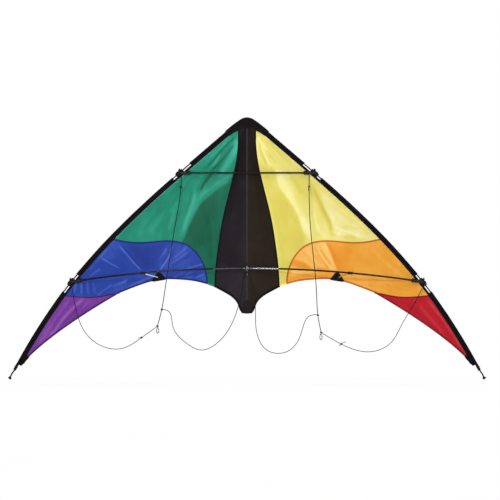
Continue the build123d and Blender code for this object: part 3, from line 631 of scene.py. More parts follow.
def frames_along(points, closed=False):
    """Tangents and a twist-free pair of cross directions along a 3-D polyline."""
    p = np.array(points, float)
    if closed:
        tan = np.roll(p, -1, axis=0) - np.roll(p, 1, axis=0)
    else:
        tan = np.gradient(p, axis=0)
    tan /= np.maximum(np.linalg.norm(tan, axis=1), 1e-9)[:, None]
    u = np.cross(tan[0], (0.3, 1.0, 0.2))
    u /= np.linalg.norm(u)
    us = [u]
    for i in range(1, len(p)):
        u = us[-1] - tan[i] * (us[-1] @ tan[i])
        us.append(u / max(np.linalg.norm(u), 1e-9))
    us = np.array(us)
    if closed:
        back = us[-1] - tan[0] * (us[-1] @ tan[0])
        back /= np.linalg.norm(back)
        angle = math.atan2(np.cross(us[0], back) @ tan[0], us[0] @ back)
        for i in range(len(us)):
            a = -angle * i / len(us)
            us[i] = us[i] * math.cos(a) + np.cross(tan[i], us[i]) * math.sin(a)
    return p, tan, us, np.cross(tan, us)


def rope_mesh(points, radius, sides=10, pitch=5.0, groove=0.10, closed=False, taper=0.0):
    """A laid line: a tube whose section carries three strands that wind along it. radius may vary."""
    p, tan, u, v = frames_along(points, closed)
    n = len(p)
    gaps = np.linalg.norm(np.diff(p, axis=0), axis=1)
    s = np.concatenate([[0], np.cumsum(gaps)])
    if closed:
        total = s[-1] + np.linalg.norm(p[0] - p[-1])
        pitch = total / max(1, round(total / pitch))
    radii = np.broadcast_to(np.asarray(radius, float), (n,)).copy()
    verts, faces = [], []
    for i in range(n):
        for j in range(sides):
            a = 2 * math.pi * j / sides
            r = radii[i] * (1 + groove * math.cos(3 * a - 6 * math.pi * s[i] / (3 * pitch) * 1.0))
            verts.append(tuple((p[i] + (u[i] * math.cos(a) + v[i] * math.sin(a)) * r) * MM))
    rings = n if closed else n - 1
    for i in range(rings):
        k = (i + 1) % n
        for j in range(sides):
            faces.append((i * sides + j, i * sides + (j + 1) % sides, k * sides + (j + 1) % sides, k * sides + j))
    if not closed:
        for i, sign in ((0, -1), (n - 1, 1)):
            c = len(verts)
            verts.append(tuple((p[i] + tan[i] * sign * radii[i] * 0.6) * MM))
            for j in range(sides):
                a, b = i * sides + j, i * sides + (j + 1) % sides
                faces.append((a, b, c) if sign > 0 else (b, a, c))
    return verts, faces


def rope(name, points, radius, material, **how):
    v, f = rope_mesh(points, radius, **how)
    return new_object(name, v, f, material, sharp=80)


def joined(name, meshes, material, sharp=80):
    verts, faces = [], []
    for v, f in meshes:
        k = len(verts)
        verts += list(v)
        faces += [tuple(i + k for i in face) for face in f]
    return new_object(name, verts, faces, material, sharp=sharp)


def knot_mesh(place, direction, size, cord=CORD_R):
    """A pulled-tight overhand knot round a line."""
    d = np.array(direction, float)
    d /= np.linalg.norm(d)
    u = np.cross(d, (0.2, 1.0, 0.1))
    u /= np.linalg.norm(u)
    w = np.cross(d, u)
    t = np.linspace(0, 2 * math.pi, 72, endpoint=False)
    big, small = size * 0.62, size * 0.52
    ring = (big + small * np.cos(3 * t))
    pts = (
        np.array(place, float)
        + np.outer(ring * np.cos(2 * t), u) + np.outer(ring * np.sin(2 * t), w)
        + np.outer(-small * 1.25 * np.sin(3 * t), d)
    )
    return rope_mesh(pts, cord * 0.92, sides=8, pitch=4.0, groove=0.07, closed=True)


def lathe(a, b, profile, sides=24, flat=1.0, flat_dir=None):
    """A closed turned shape from a to b: profile is (share of the way, radius)."""
    a, b = np.array(a, float), np.array(b, float)
    d = (b - a) / np.linalg.norm(b - a)
    ref = np.array(flat_dir, float) if flat_dir is not None else np.array((0.31, 0.9, 0.17))
    v = ref - d * (ref @ d)
    v /= np.linalg.norm(v)
    u = np.cross(v, d)
    verts, faces = [], []
    for t, r in profile:
        c = a + (b - a) * t
        for j in range(sides):
            k = 2 * math.pi * j / sides
            verts.append(tuple(c + (u * math.cos(k) + v * math.sin(k) * flat) * r))
    for i in range(len(profile) - 1):
        for j in range(sides):
            faces.append((i * sides + j, i * sides + (j + 1) % sides, (i + 1) * sides + (j + 1) % sides, (i + 1) * sides + j))
    faces.append(tuple(reversed(range(sides))))
    faces.append(tuple(range((len(profile) - 1) * sides, len(profile) * sides)))
    return verts, faces


def moulding(name, parts, material, voxel=0.62, rounds=3):
    """Turned shapes melted into one moulded piece, in the kite's millimetres."""
    verts, faces = [], []
    for v, f in parts:
        k = len(verts)
        verts += [tuple(c * MM for c in p) for p in v]
        faces += [tuple(i + k for i in face) for face in f]
    rough = new_object(name + "_rough", verts, faces, material)
    m = rough.modifiers.new("melt", "REMESH")
    m.mode = "VOXEL"
    m.voxel_size = voxel * MM
    m.use_smooth_shade = True
    s = rough.modifiers.new("soft", "SMOOTH")
    s.factor = 0.55
    s.iterations = rounds
    dg = bpy.context.evaluated_depsgraph_get()
    mesh = bpy.data.meshes.new_from_object(rough.evaluated_get(dg))
    bpy.data.objects.remove(rough)
    mesh.name = name
    mesh.materials.clear()
    mesh.materials.append(material)
    for f in mesh.polygons:
        f.use_smooth = True
    obj = bpy.data.objects.new(name, mesh)
    bpy.context.scene.collection.objects.link(obj)
    return obj


# ------------------------------------------------------------------ materials
def srgb(r, g, b):
    out = []
    for c in (r, g, b):
        c = c / 255.0
        out.append(c / 12.92 if c <= 0.04045 else ((c + 0.055) / 1.055) ** 2.4)
    return (*out, 1.0)


class Graph:
    def __init__(self, name):
        self.m = bpy.data.materials.new(name)
        self.m.use_nodes = True
        self.t = self.m.node_tree
        self.t.nodes.clear()
        self.out = self.t.nodes.new("ShaderNodeOutputMaterial")
        self.where = self.add("ShaderNodeTexCoord").outputs["Object"]

    def add(self, kind, inputs=None, **props):
        n = self.t.nodes.new(kind)
        for k, v in props.items():
            setattr(n, k, v)
        for k, v in (inputs or {}).items():
            if isinstance(v, bpy.types.NodeSocket):
                self.t.links.new(v, n.inputs[k])
            else:
                n.inputs[k].default_value = v
        return n

    def math(self, op, a, b=0.0, c=0.0, clamp=False):
        n = self.add("ShaderNodeMath", {0: a, 1: b, 2: c}, operation=op)
        n.use_clamp = clamp
        return n.outputs[0]

    def mix(self, fac, a, b, kind="MIX"):
        n = self.add("ShaderNodeMix", {0: fac, 6: a, 7: b}, data_type="RGBA", blend_type=kind)
        return n.outputs[2]

    def noise(self, scale, detail=3.0, rough=0.55, vector=None, stretch=None):
        vector = vector or self.where
        if stretch:
            vector = self.add("ShaderNodeMapping", {"Vector": vector, "Scale": stretch}).outputs[0]
        n = self.add("ShaderNodeTexNoise", {"Vector": vector, "Scale": scale, "Detail": detail, "Roughness": rough})
        return n.outputs[0]

    def ramp(self, value, low, high, a=0.0, b=1.0):
        n = self.add("ShaderNodeMapRange", {0: value, 1: low, 2: high, 3: a, 4: b})
        n.interpolation_type = "SMOOTHSTEP"
        return n.outputs[0]

    def axes(self, vector=None):
        n = self.add("ShaderNodeSeparateXYZ", {0: vector or self.where})
        return n.outputs[0], n.outputs[1], n.outputs[2]

    def bump(self, height, distance, strength=1.0, normal=None):
        inputs = {"Height": height, "Distance": distance, "Strength": strength}
        if normal is not None:
            inputs["Normal"] = normal
        return self.add("ShaderNodeBump", inputs).outputs[0]

    def finish(self, shader):
        self.t.links.new(shader, self.out.inputs["Surface"])
        return self.m


def sail_cloth(name, dark, mid, light, through=0.22, painted_folds=True, cell=0.005, rough=0.50, gain=1.0, sheen=0.04, spec=0.14, darker_upwards=0.0):
    """Ripstop nylon: a fine reinforcing grid, crinkled, slightly see-through, with the light and shade of its folds
    painted into its colour.
    """
    g = Graph(name)
    x, y, z = g.axes()
    if painted_folds:
        # painted light and shade of the folds, read from the sheet's points
        t = g.add("ShaderNodeAttribute", attribute_name="painted_fold_shading").outputs["Fac"]
    else:
        t = g.ramp(g.noise(14.0, 2.0), 0.3, 0.7, -0.25, 0.25)
    soft = g.ramp(g.noise(9.0, 4.0, 0.6), 0.25, 0.75, -0.16, 0.16)
    streak = g.ramp(g.noise(26.0, 3.0, 0.6, stretch=(1.0, 1.0, 0.35)), 0.3, 0.7, -0.10, 0.10)
    t = g.math("ADD", g.math("ADD", t, soft), streak)
    base = g.mix(g.math("ADD", t, 1.0, clamp=True), srgb(*dark), srgb(*mid))
    base = g.mix(g.math("MULTIPLY", t, 1.0, clamp=True), base, srgb(*light))
    gx = g.ramp(g.math("PINGPONG", x, cell / 2), 0.0, cell * 0.09, 1.0, 0.0)
    gz = g.ramp(g.math("PINGPONG", z, cell / 2), 0.0, cell * 0.09, 1.0, 0.0)
    grid = g.math("MAXIMUM", gx, gz)
    base = g.mix(g.math("MULTIPLY", grid, 0.10), base, srgb(*light))
    if gain != 1.0:
        base = g.mix(1.0, base, (gain, gain, gain, 1.0), "MULTIPLY")
    # darker towards the top, from 0.06 m to 0.40 m up
    if darker_upwards:
        base = g.mix(g.ramp(z, 0.06, 0.40, 0.0, darker_upwards), base, (0.0, 0.0, 0.0, 1.0))
    threads = g.math("MULTIPLY", g.math("SINE", g.math("MULTIPLY", x, 9000.0)), g.math("SINE", g.math("MULTIPLY", z, 9000.0)))
    crinkle = g.noise(55.0, 3.5, 0.55)
    edge_on = g.add("ShaderNodeLayerWeight", {"Blend": 0.5}).outputs["Facing"]
    normal = g.bump(crinkle, 0.0016, g.ramp(edge_on, 0.15, 0.55, 0.30, 0.02))
    normal = g.bump(grid, 0.00006, g.ramp(edge_on, 0.15, 0.55, 0.7, 0.03), normal)
    normal = g.bump(threads, 0.00002, g.ramp(edge_on, 0.15, 0.55, 0.35, 0.0), normal)
    gloss = g.ramp(g.noise(30.0, 3.0), 0.3, 0.7, rough - 0.06, rough + 0.08)
    p = g.add("ShaderNodeBsdfPrincipled", {
        "Base Color": base, "Roughness": gloss, "Normal": normal, "Specular IOR Level": spec,
        "Sheen Weight": sheen, "Sheen Roughness": 0.4, "Sheen Tint": base,
    })
    glow = g.add("ShaderNodeBsdfTranslucent", {"Color": base, "Normal": normal})
    both = g.add("ShaderNodeMixShader", {0: through, 1: p.outputs[0], 2: glow.outputs[0]})
    return g.finish(both.outputs[0])


def webbing(name, colour, worn, rough=0.78, rib=0.0014, spec=0.05):
    """Heavy woven tape: ribs of herringbone, dusty where it is handled."""
    g = Graph(name)
    x, y, z = g.axes()
    lean = g.math("PINGPONG", x, 0.003)
    ribs = g.math("SINE", g.math("MULTIPLY", g.math("ADD", z, lean), 2 * math.pi / rib))
    cross = g.math("SINE", g.math("MULTIPLY", x, 2 * math.pi / (rib * 0.7)))
    weave = g.math("ADD", ribs, g.math("MULTIPLY", cross, 0.4))
    dust = g.ramp(g.noise(40.0, 6.0, 0.7), 0.45, 0.8)
    base = g.mix(g.math("MULTIPLY", dust, 0.35), srgb(*colour), srgb(*worn))
    base = g.mix(g.ramp(weave, -1.2, 1.2, 0.0, 0.22), base, srgb(*worn))
    normal = g.bump(weave, 0.00010, 0.6)
    normal = g.bump(g.noise(180.0, 4.0), 0.0003, 0.3, normal)
    p = g.add("ShaderNodeBsdfPrincipled", {
        "Base Color": base, "Roughness": g.ramp(dust, 0, 1, rough - 0.08, rough + 0.1), "Normal": normal,
        "Specular IOR Level": spec, "Sheen Weight": 0.02, "Sheen Roughness": 0.5,
    })
    return g.finish(p.outputs[0])


def moulded(name, colour, worn, rough=0.42, spec=0.4, coat=0.0):
    """Moulded rubber or vinyl: fine grain, rubbed paler along its edges."""
    g = Graph(name)
    edge = g.ramp(g.add("ShaderNodeNewGeometry").outputs["Pointiness"], 0.52, 0.60)
    scuff = g.ramp(g.noise(260.0, 6.0, 0.7), 0.5, 0.75)
    wear = g.math("MAXIMUM", g.math("MULTIPLY", edge, 0.55), g.math("MULTIPLY", scuff, 0.30))
    base = g.mix(wear, srgb(*colour), srgb(*worn))
    normal = g.bump(g.noise(1400.0, 3.0), 0.00008, 0.5)
    normal = g.bump(g.noise(220.0, 3.0), 0.0003, 0.25, normal)
    p = g.add("ShaderNodeBsdfPrincipled", {
        "Base Color": base, "Roughness": g.ramp(g.noise(160.0, 4.0), 0.3, 0.7, rough - 0.1, rough + 0.12),
        "Normal": normal, "Specular IOR Level": spec, "Coat Weight": coat, "Coat Roughness": 0.15,
    })
    return g.finish(p.outputs[0])


def pultruded(name, colour, streak, rough=0.22, spec=0.5, coat=0.3, polish_and_highlight_span=None, polish_and_highlight_strength=1.0):
    """A pultruded rod: fibres drawn along it under a polished skin, with fine scratches. It may be glossier over one
    length, where a painted highlight also lightens its colour.
    """
    g = Graph(name)
    fibres = g.ramp(g.noise(900.0, 4.0, 0.6, stretch=(0.05, 1.0, 1.0)), 0.35, 0.75)
    blotch = g.ramp(g.noise(60.0, 4.0), 0.4, 0.8)
    base = g.mix(g.math("MULTIPLY", fibres, 0.5), srgb(*colour), srgb(*streak))
    base = g.mix(g.math("MULTIPLY", blotch, 0.15), base, srgb(*streak))
    normal = g.bump(fibres, 0.00004, 0.06 if polish_and_highlight_span else 0.4)
    if polish_and_highlight_span:
        x, y, z = g.axes()
        polish_and_highlight = g.math("MULTIPLY", g.ramp(x, polish_and_highlight_span[0], polish_and_highlight_span[0] + 0.004), g.ramp(x, polish_and_highlight_span[1] - 0.012, polish_and_highlight_span[1], 1.0, 0.0))
        spec, coat = g.ramp(polish_and_highlight, 0.0, 1.0, spec, 0.9 * polish_and_highlight_strength), g.ramp(polish_and_highlight, 0.0, 1.0, coat, polish_and_highlight_strength)
        # painted highlight: a pale grey mixed into the rod's colour over that length
        base = g.mix(g.math("MULTIPLY", polish_and_highlight, 0.30 * polish_and_highlight_strength), base, srgb(150, 146, 164))
    p = g.add("ShaderNodeBsdfPrincipled", {
        "Base Color": base, "Roughness": g.ramp(g.noise(300.0, 5.0), 0.3, 0.8, rough, rough + 0.22),
        "Normal": normal, "Specular IOR Level": spec, "Coat Weight": coat, "Coat Roughness": 0.12,
    })
    return g.finish(p.outputs[0])


def line_material(name, colour, worn, rough=0.6, spec=0.2):
    """Braided line: crossing strands, slightly furred."""
    g = Graph(name)
    x, y, z = g.axes()
    a = g.math("SINE", g.math("MULTIPLY", g.math("ADD", g.math("ADD", x, z), y), 5200.0))
    b = g.math("SINE", g.math("MULTIPLY", g.math("SUBTRACT", g.math("SUBTRACT", x, z), y), 5200.0))
    braid = g.math("MAXIMUM", a, b)
    base = g.mix(g.ramp(braid, -0.5, 1.0, 0.0, 0.35), srgb(*colour), srgb(*worn))
    base = g.mix(g.ramp(g.noise(120.0, 4.0), 0.4, 0.8, 0.0, 0.3), base, srgb(*worn))
    p = g.add("ShaderNodeBsdfPrincipled", {
        "Base Color": base, "Roughness": rough, "Normal": g.bump(braid, 0.00008, 0.5),
        "Specular IOR Level": spec, "Sheen Weight": 0.02,
    })
    return g.finish(p.outputs[0])


SAIL = {
    "green": sail_cloth("sail_green", (12, 86, 62), (28, 132, 106), (64, 176, 149), gain=0.92),
    "yellow": sail_cloth("sail_yellow", (200, 184, 60), (219, 209, 110), (238, 231, 174), gain=0.90),
    "blue": sail_cloth("sail_blue", (22, 40, 118), (37, 65, 158), (96, 122, 206), gain=0.92),
    "orange": sail_cloth("sail_orange", (214, 126, 26), (226, 157, 50), (240, 196, 116), gain=0.90),
    "purple": sail_cloth("sail_purple", (88, 32, 120), (116, 54, 149), (152, 98, 176), gain=0.92),
    "red": sail_cloth("sail_red", (144, 12, 26), (178, 20, 36), (210, 66, 78), gain=0.92),
}
# Hems and seam overlaps: copies of the sail cloths painted darker, the painted shade of the doubled cloth.
HEM_SHADED = {
    "green": sail_cloth("hem_shaded_green", (18, 72, 54), (34, 112, 86), (60, 150, 120), through=0.08, painted_folds=False, gain=0.9),
    "yellow": sail_cloth("hem_shaded_yellow", (200, 180, 60), (222, 205, 84), (240, 228, 130), through=0.08, painted_folds=False, gain=0.9),
    "blue": sail_cloth("hem_shaded_blue", (8, 16, 64), (14, 26, 86), (34, 50, 122), through=0.04, painted_folds=False, gain=0.9),
    "orange": sail_cloth("hem_shaded_orange", (146, 70, 10), (172, 92, 20), (204, 126, 44), through=0.04, painted_folds=False, gain=0.9),
    "purple": sail_cloth("hem_shaded_purple", (36, 10, 58), (52, 18, 78), (84, 42, 112), through=0.04, painted_folds=False, gain=0.9),
    "red": sail_cloth("hem_shaded_red", (84, 6, 14), (112, 10, 22), (150, 28, 40), through=0.04, painted_folds=False, gain=0.9),
}
# Copies of the sail cloths painted much lighter: a painted highlight along the sewn edge under the sleeve.
EDGE_HIGHLIGHT = {
    "green": sail_cloth("edge_highlight_green", (96, 178, 146), (128, 202, 172), (170, 224, 200), painted_folds=False),
    "yellow": sail_cloth("edge_highlight_yellow", (240, 228, 130), (248, 240, 168), (254, 250, 205), painted_folds=False),
    "blue": sail_cloth("edge_highlight_blue", (44, 72, 160), (60, 90, 176), (90, 118, 196), painted_folds=False),
    "orange": sail_cloth("edge_highlight_orange", (240, 160, 60), (248, 184, 92), (252, 206, 130), painted_folds=False),
    "purple": sail_cloth("edge_highlight_purple", (118, 56, 150), (136, 76, 168), (160, 104, 186), painted_folds=False),
    "red": sail_cloth("edge_highlight_red", (190, 40, 54), (206, 54, 66), (220, 80, 90), painted_folds=False),
}
BLACK_CLOTH = {
    -1: sail_cloth("sail_black_left", (17, 13, 17), (25, 20, 25), (42, 36, 41), through=0.02, painted_folds=False, rough=0.5, sheen=0.02, spec=0.08, darker_upwards=0.7),
    1: sail_cloth("sail_black_right", (18, 11, 5), (27, 18, 10), (46, 33, 21), through=0.02, painted_folds=False, rough=0.5, sheen=0.02, spec=0.08, darker_upwards=0.6),
}
SPINE_SEAM = webbing("spine_seam_tape", (48, 39, 45), (78, 66, 74), rib=0.0009)
BLACK_HEM = webbing("hem_black", (9, 7, 9), (30, 24, 27))
SLEEVE = sail_cloth("sleeve_black", (5, 4, 6), (8, 6, 10), (20, 16, 20), through=0.0, painted_folds=False, cell=0.003, rough=0.66, sheen=0.0, spec=0.05)
WEBBING = webbing("webbing_black", (8, 6, 8), (32, 26, 28))
STRAP = webbing("strap_black", (23, 18, 21), (40, 33, 37))
PATCH = webbing("patch_black", (10, 9, 11), (38, 36, 40), rib=0.0010)
RUBBER = moulded("fitting_black", (8, 7, 8), (40, 39, 42), rough=0.42, spec=0.18)
RUBBER_T = moulded("fitting_black_t", (8, 7, 8), (60, 60, 64), rough=0.22, spec=0.5, coat=0.6)
VINYL = moulded("vinyl_black", (9, 8, 10), (36, 36, 40), rough=0.48, spec=0.15)
ROD = pultruded("rod_black", (3, 3, 3), (9, 8, 8), rough=0.18, spec=0.12, coat=0.10)
# the lower spreaders carry painted highlights near the T, stronger on the right
ROD_LIT = pultruded("rod_black_polished_painted_highlight", (3, 3, 3), (9, 8, 8), rough=0.18, spec=0.12, coat=0.10, polish_and_highlight_span=(0.012, 0.100))
ROD_WEAK_HIGHLIGHT = pultruded("rod_black_weak_painted_highlight", (3, 3, 3), (9, 8, 8), rough=0.18, spec=0.12, coat=0.10, polish_and_highlight_span=(-0.104, -0.010), polish_and_highlight_strength=0.24)
ROD_PALE = pultruded("rod_pale", (206, 204, 198), (235, 234, 230), rough=0.3, spec=0.5, coat=0.4)
# the same pale fibreglass, painted darker and orange: painted shade and a painted reflection of the orange cloth
ROD_PALE_SHADED = pultruded("rod_pale_painted_shade_orange", (172, 118, 72), (206, 160, 112), rough=0.4, spec=0.3, coat=0.2)
FERRULE = pultruded("ferrule_tube", (44, 43, 44), (92, 90, 90), rough=0.35, spec=0.5, coat=0.1)
CORD = line_material("cord_black", (8, 8, 9), (34, 33, 36), spec=0.08)
TIP_CORD = line_material("tip_cord_black", (8, 8, 9), (32, 31, 34), rough=0.7, spec=0.06)
THREAD = {
    "green": line_material("thread_green", (24, 92, 70), (60, 150, 118)),
    "yellow": line_material("thread_yellow", (150, 110, 30), (200, 168, 70)),
    "blue": line_material("thread_blue", (20, 34, 100), (56, 78, 160)),
    "orange": line_material("thread_orange", (126, 66, 18), (184, 112, 44)),
    "purple": line_material("thread_purple", (70, 26, 100), (118, 66, 150)),
    "red": line_material("thread_red", (124, 14, 26), (186, 44, 58)),
    "black": line_material("thread_black", (16, 14, 16), (44, 40, 44), spec=0.08),
    "faint": line_material("thread_faint", (34, 28, 31), (58, 50, 54), spec=0.06),
}
COLOUR = {
    (1, "upper"): "yellow", (1, "middle"): "orange", (1, "tip"): "red",
    (-1, "upper"): "green", (-1, "middle"): "blue", (-1, "tip"): "purple",
}

# ------------------------------------------------------------------ CAD pieces that keep their own shape
for name, node in frame["nodes"].items():
    keep = (
        ROD_PALE if name.startswith("standoff_") and "clip" not in name and "patch" not in name
        else FERRULE if "ferrule" in name
        else VINYL if name in ("spine_nose_cap", "spine_tail_cap")
        else ROD
    )
    node.data.materials.clear()
    node.data.materials.append(keep)
    for f in node.data.polygons:
        f.use_smooth = True
        f.material_index = 0
    node.data.set_sharp_from_angle(angle=math.radians(40))


def bend(obj, side):
    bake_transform(obj)


def wing(side):
    return "wing_right" if side > 0 else "wing_left"


lobe = [tuple(p) for p in Run(LOBE_SEAM).sample(4.0)]
tip_seam = [tuple(p) for p in Run(TIP_SEAM).sample(4.0)]
centre_edge = [tuple(p) for p in Run(CENTRE_EDGE).sample(4.0)]
te_middle = [tuple(p) for p in Run(TE_MIDDLE).sample(4.0)]
te_tip = [tuple(p) for p in Run(TE_TIP).sample(4.0)]
tail_edge = [tuple(p) for p in Run(TAIL_EDGE).sample(3.0)]
sew_upper = between(LE_SEW, 416.0, 88.6)
sew_middle = between(LE_SEW, 88.0, -82.2)
sew_tip = between(LE_SEW, -82.6, -276.0)

for label, side in SIDES:
    def front(x, z, side=side):
        return depth(side, x, z)

    def back(x, z, side=side):
        return depth(side, x, z) + CLOTH

    centre = closed_sheet(
        "centre_panel_cloth_" + label, side,
        [(0, 434), (20, 432), (27.5, 423)] + centre_edge + tail_edge[1:] + [(0, -135.3)],
        4.5, front, back, BLACK_CLOTH[side],
    )
    bend(centre, side)
    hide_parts("centre_panel_" + label)
    upper = closed_sheet(
        "upper_panel_cloth_" + label, side,
        centre_edge + [TE_STRIP[1]] + lobe[1:] + list(reversed(sew_upper)),
        2.7, front, back, SAIL[COLOUR[side, "upper"]], part="upper",
    )
    middle = closed_sheet(
        "middle_panel_cloth_" + label, side,
        lobe + sew_middle + list(reversed(tip_seam[:-1])) + list(reversed(te_middle[1:-1])),
        2.5, front, back, SAIL[COLOUR[side, "middle"]], part="middle",
    )
    tip = closed_sheet(
        "tip_panel_cloth_" + label, side,
        tip_seam + sew_tip + list(reversed(te_tip[1:])),
        2.7, front, back, SAIL[COLOUR[side, "tip"]], part="tip",
    )
    for piece, part in ((upper, "upper"), (middle, "middle"), (tip, "tip")):
        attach(piece, wing(side))
        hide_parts(part + "_panel_" + label)

    # seams, hems and their stitching
    width = [-2.5, -1.5, 0.0, 1.5, 2.5]
    raised = [0.05, 0.30, 0.34, 0.30, 0.05]
    narrow = [-2.1, -1.2, 0.0, 1.2, 2.1]
    hem = [-2.6, -1.4, 0.0, 1.5, 2.9]
    lobe_band = band("lobe_seam_" + label, side, lobe, width, raised, HEM_SHADED[COLOUR[side, "middle"]])
    tip_band = band("tip_seam_" + label, side, tip_seam, narrow, raised, HEM_SHADED[COLOUR[side, "tip"]])
    edge_band = band("centre_seam_" + label, side, [(x - 2.6, z) for x, z in centre_edge[2:-1]], width, raised, BLACK_HEM)
    hem_path = offset_inwards(list(reversed(te_middle)), 2.6)
    hem_mid = band("hem_middle_" + label, side, hem_path, hem, [0.05, 0.30, 0.34, 0.40, 0.18], HEM_SHADED[COLOUR[side, "middle"]])
    hem_tip_path = offset_inwards(list(reversed(te_tip)), 2.6)
    hem_tip = band("hem_tip_" + label, side, hem_tip_path, hem, [0.05, 0.30, 0.34, 0.40, 0.18], HEM_SHADED[COLOUR[side, "tip"]])
    strip = [tuple(p) for p in Run([(97.0, -56.6), (121.0, -47.6)]).sample(4.0)]
    hem_strip = band("hem_strip_" + label, side, offset_inwards(list(reversed(strip)), 2.6), hem, [0.05, 0.30, 0.34, 0.40, 0.18], HEM_SHADED[COLOUR[side, "upper"]])
    tail_inner = [(98.2, -49.4)] + offset_inwards(tail_edge, 6.4)[2:]
    hem_tail = closed_sheet(
        "hem_tail_" + label, side, [(99.0, -56.3)] + offset_inwards(tail_edge, -0.5)[1:] + list(reversed(tail_inner)), 2.6,
        lambda x, z, side=side: depth(side, x, z) - 0.5, lambda x, z, side=side: depth(side, x, z) + CLOTH + 0.5, BLACK_HEM,
    )
    # the sewn edges along the sleeve carry a painted highlight
    for part, top, low in (("upper", 398.0, 89.0), ("middle", 87.0, -82.5), ("tip", -84.0, -262.0)):
        strip_band = band("sewn_edge_%s_%s" % (part, label), side, between(LE_INNER, top, low, 6.0), [-1.6, -0.6, 0.5], [0.02, 0.34, 0.10], EDGE_HIGHLIGHT[COLOUR[side, part]])
        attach(strip_band, wing(side))
    for piece, slot_name in (
        (lobe_band, "sail_" + COLOUR[side, "middle"]), (tip_band, "sail_" + COLOUR[side, "tip"]), (edge_band, "sail_black"),
        (hem_mid, "sail_" + COLOUR[side, "middle"]), (hem_tip, "sail_" + COLOUR[side, "tip"]),
        (hem_strip, "sail_" + COLOUR[side, "upper"]),
    ):
        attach(piece, wing(side))
    bend(hem_tail, side)

    seam_thread = Stitches()
    seam_thread.row(side, lobe, 0.0, 4.2, 0.36, zigzag=1.3, width=0.8)
    seam_thread.row(side, lobe, 2.0, 3.4, 0.30)
    thread_a = seam_thread.build("stitching_lobe_" + label, THREAD[COLOUR[side, "middle"]])
    tip_thread = Stitches()
    tip_thread.row(side, tip_seam, 1.1, 3.4, 0.34)
    tip_thread.row(side, tip_seam, -1.1, 3.4, 0.34)
    tip_thread.row(side, hem_tip_path, -0.8, 3.4, 0.34)
    thread_b = tip_thread.build("stitching_tip_" + label, THREAD[COLOUR[side, "tip"]])
    hem_thread = Stitches()
    hem_thread.row(side, hem_path, -0.8, 3.4, 0.34)
    thread_c = hem_thread.build("stitching_hem_" + label, THREAD[COLOUR[side, "middle"]])
    dark_thread = Stitches()
    edge_path = [(x - 2.6, z) for x, z in centre_edge[2:-1]]
    dark_thread.row(side, edge_path, 1.2, 3.4, 0.34)
    dark_thread.row(side, edge_path, -1.4, 3.4, 0.34)
    thread_d = dark_thread.build("stitching_centre_" + label, THREAD["black"])
    for piece, slot_name in (
        (thread_a, "sail_" + COLOUR[side, "middle"]), (thread_b, "sail_" + COLOUR[side, "tip"]),
        (thread_c, "sail_" + COLOUR[side, "middle"]), (thread_d, "cord_black"),
    ):
        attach(piece, wing(side))

    # ------------------------------------------------------------ leading-edge sleeve
    rng = random.Random(5 if side > 0 else 11)
    waves = [(rng.uniform(0.02, 0.09), rng.uniform(0, 6.28), rng.uniform(0.08, 0.22)) for _ in range(7)]

    def sleeve_section(s, tube, widen):
        """Cross-section of the folded cloth: pairs of outward distance and depth, from the front flap round to the back."""
        pucker = sum(a * math.sin(k * s + p) for k, p, a in waves)
        if not tube:
            return [(-12.4, -0.52), (-11.2, -0.72), (-9.4, -0.74 + 0.2 * pucker), (-6.4, -0.70), (-5.5, 0.12), (-6.4, 1.0), (-9.4, 1.02), (-11.2, 1.0), (-12.4, 0.85)]
        w = -widen
        return [
            (-12.4 + w, -0.52), (-11.2 + w, -0.72), (-8.6, -0.78 + 0.25 * pucker), (-6.4, -1.0 + 0.3 * pucker),
            (-4.6, -1.7 + 0.35 * pucker), (-3.0, -2.75 + 0.3 * pucker), (-1.0, -3.45 + 0.2 * pucker), (1.1, -3.45 + 0.15 * pucker),
            (2.8, -2.4 + 0.1 * pucker), (3.65 + 0.12 * pucker, -0.4), (3.3, 1.6), (1.9, 3.0), (-0.4, 3.6 + 0.2 * pucker),
            (-2.6, 3.1 + 0.3 * pucker), (-4.4, 2.0 + 0.3 * pucker), (-6.4, 1.35 + 0.3 * pucker), (-8.6, 1.1 + 0.2 * pucker),
            (-11.2 + w, 1.0), (-12.4 + w, 0.85),
        ]

    def sleeve_run(z_high, z_low, tube):
        a, b = LE_AXIS.where(z_high), LE_AXIS.where(z_low)
        n = max(3, int((b - a) / 4.0))
        verts, faces = [], []
        m = None
        for s in np.linspace(a, b, n):
            p = LE_AXIS.along([s])[0]
            q = LE_AXIS.along([s + 0.5])[0]
            d = (q - p) / np.linalg.norm(q - p)
            out = np.array([-d[1], d[0]])
            z_here = p[1]
            widen = 4.5 * float(smooth((-252 - z_here) / 22.0)) * float(1 - smooth((-276 - z_here) / 10.0)) if tube else 0.0
            sec = sleeve_section(s, tube, widen)
            if tube and (s - a < 5 or b - s < 5):
                sec = [(o * 1.0, y * 1.06) for o, y in sec]
            inner = []
            centre_y = 0.2
            for o, y in sec:
                if o > -6.0:
                    size = math.hypot(o, y - centre_y)
                    k = max(0.0, (size - 0.55) / size)
                    inner.append((o * k, centre_y + (y - centre_y) * k))
                else:
                    inner.append((o, 0.17 + (y - 0.17) * 0.35))
            ring = sec + list(reversed(inner))
            m = len(ring)
            for o, y in ring:
                xz = p + out * o
                verts.append((side * xz[0] * MM, y * MM, xz[1] * MM))
        for i in range(n - 1):
            for j in range(m):
                faces.append((i * m + j, i * m + (j + 1) % m, (i + 1) * m + (j + 1) % m, (i + 1) * m + j))
        half = m // 2
        for i in (0, n - 1):
            for j in range(half - 1):
                quad = (i * m + j, i * m + j + 1, i * m + m - 2 - j, i * m + m - 1 - j)
                faces.append(quad if i else tuple(reversed(quad)))
        return verts, faces

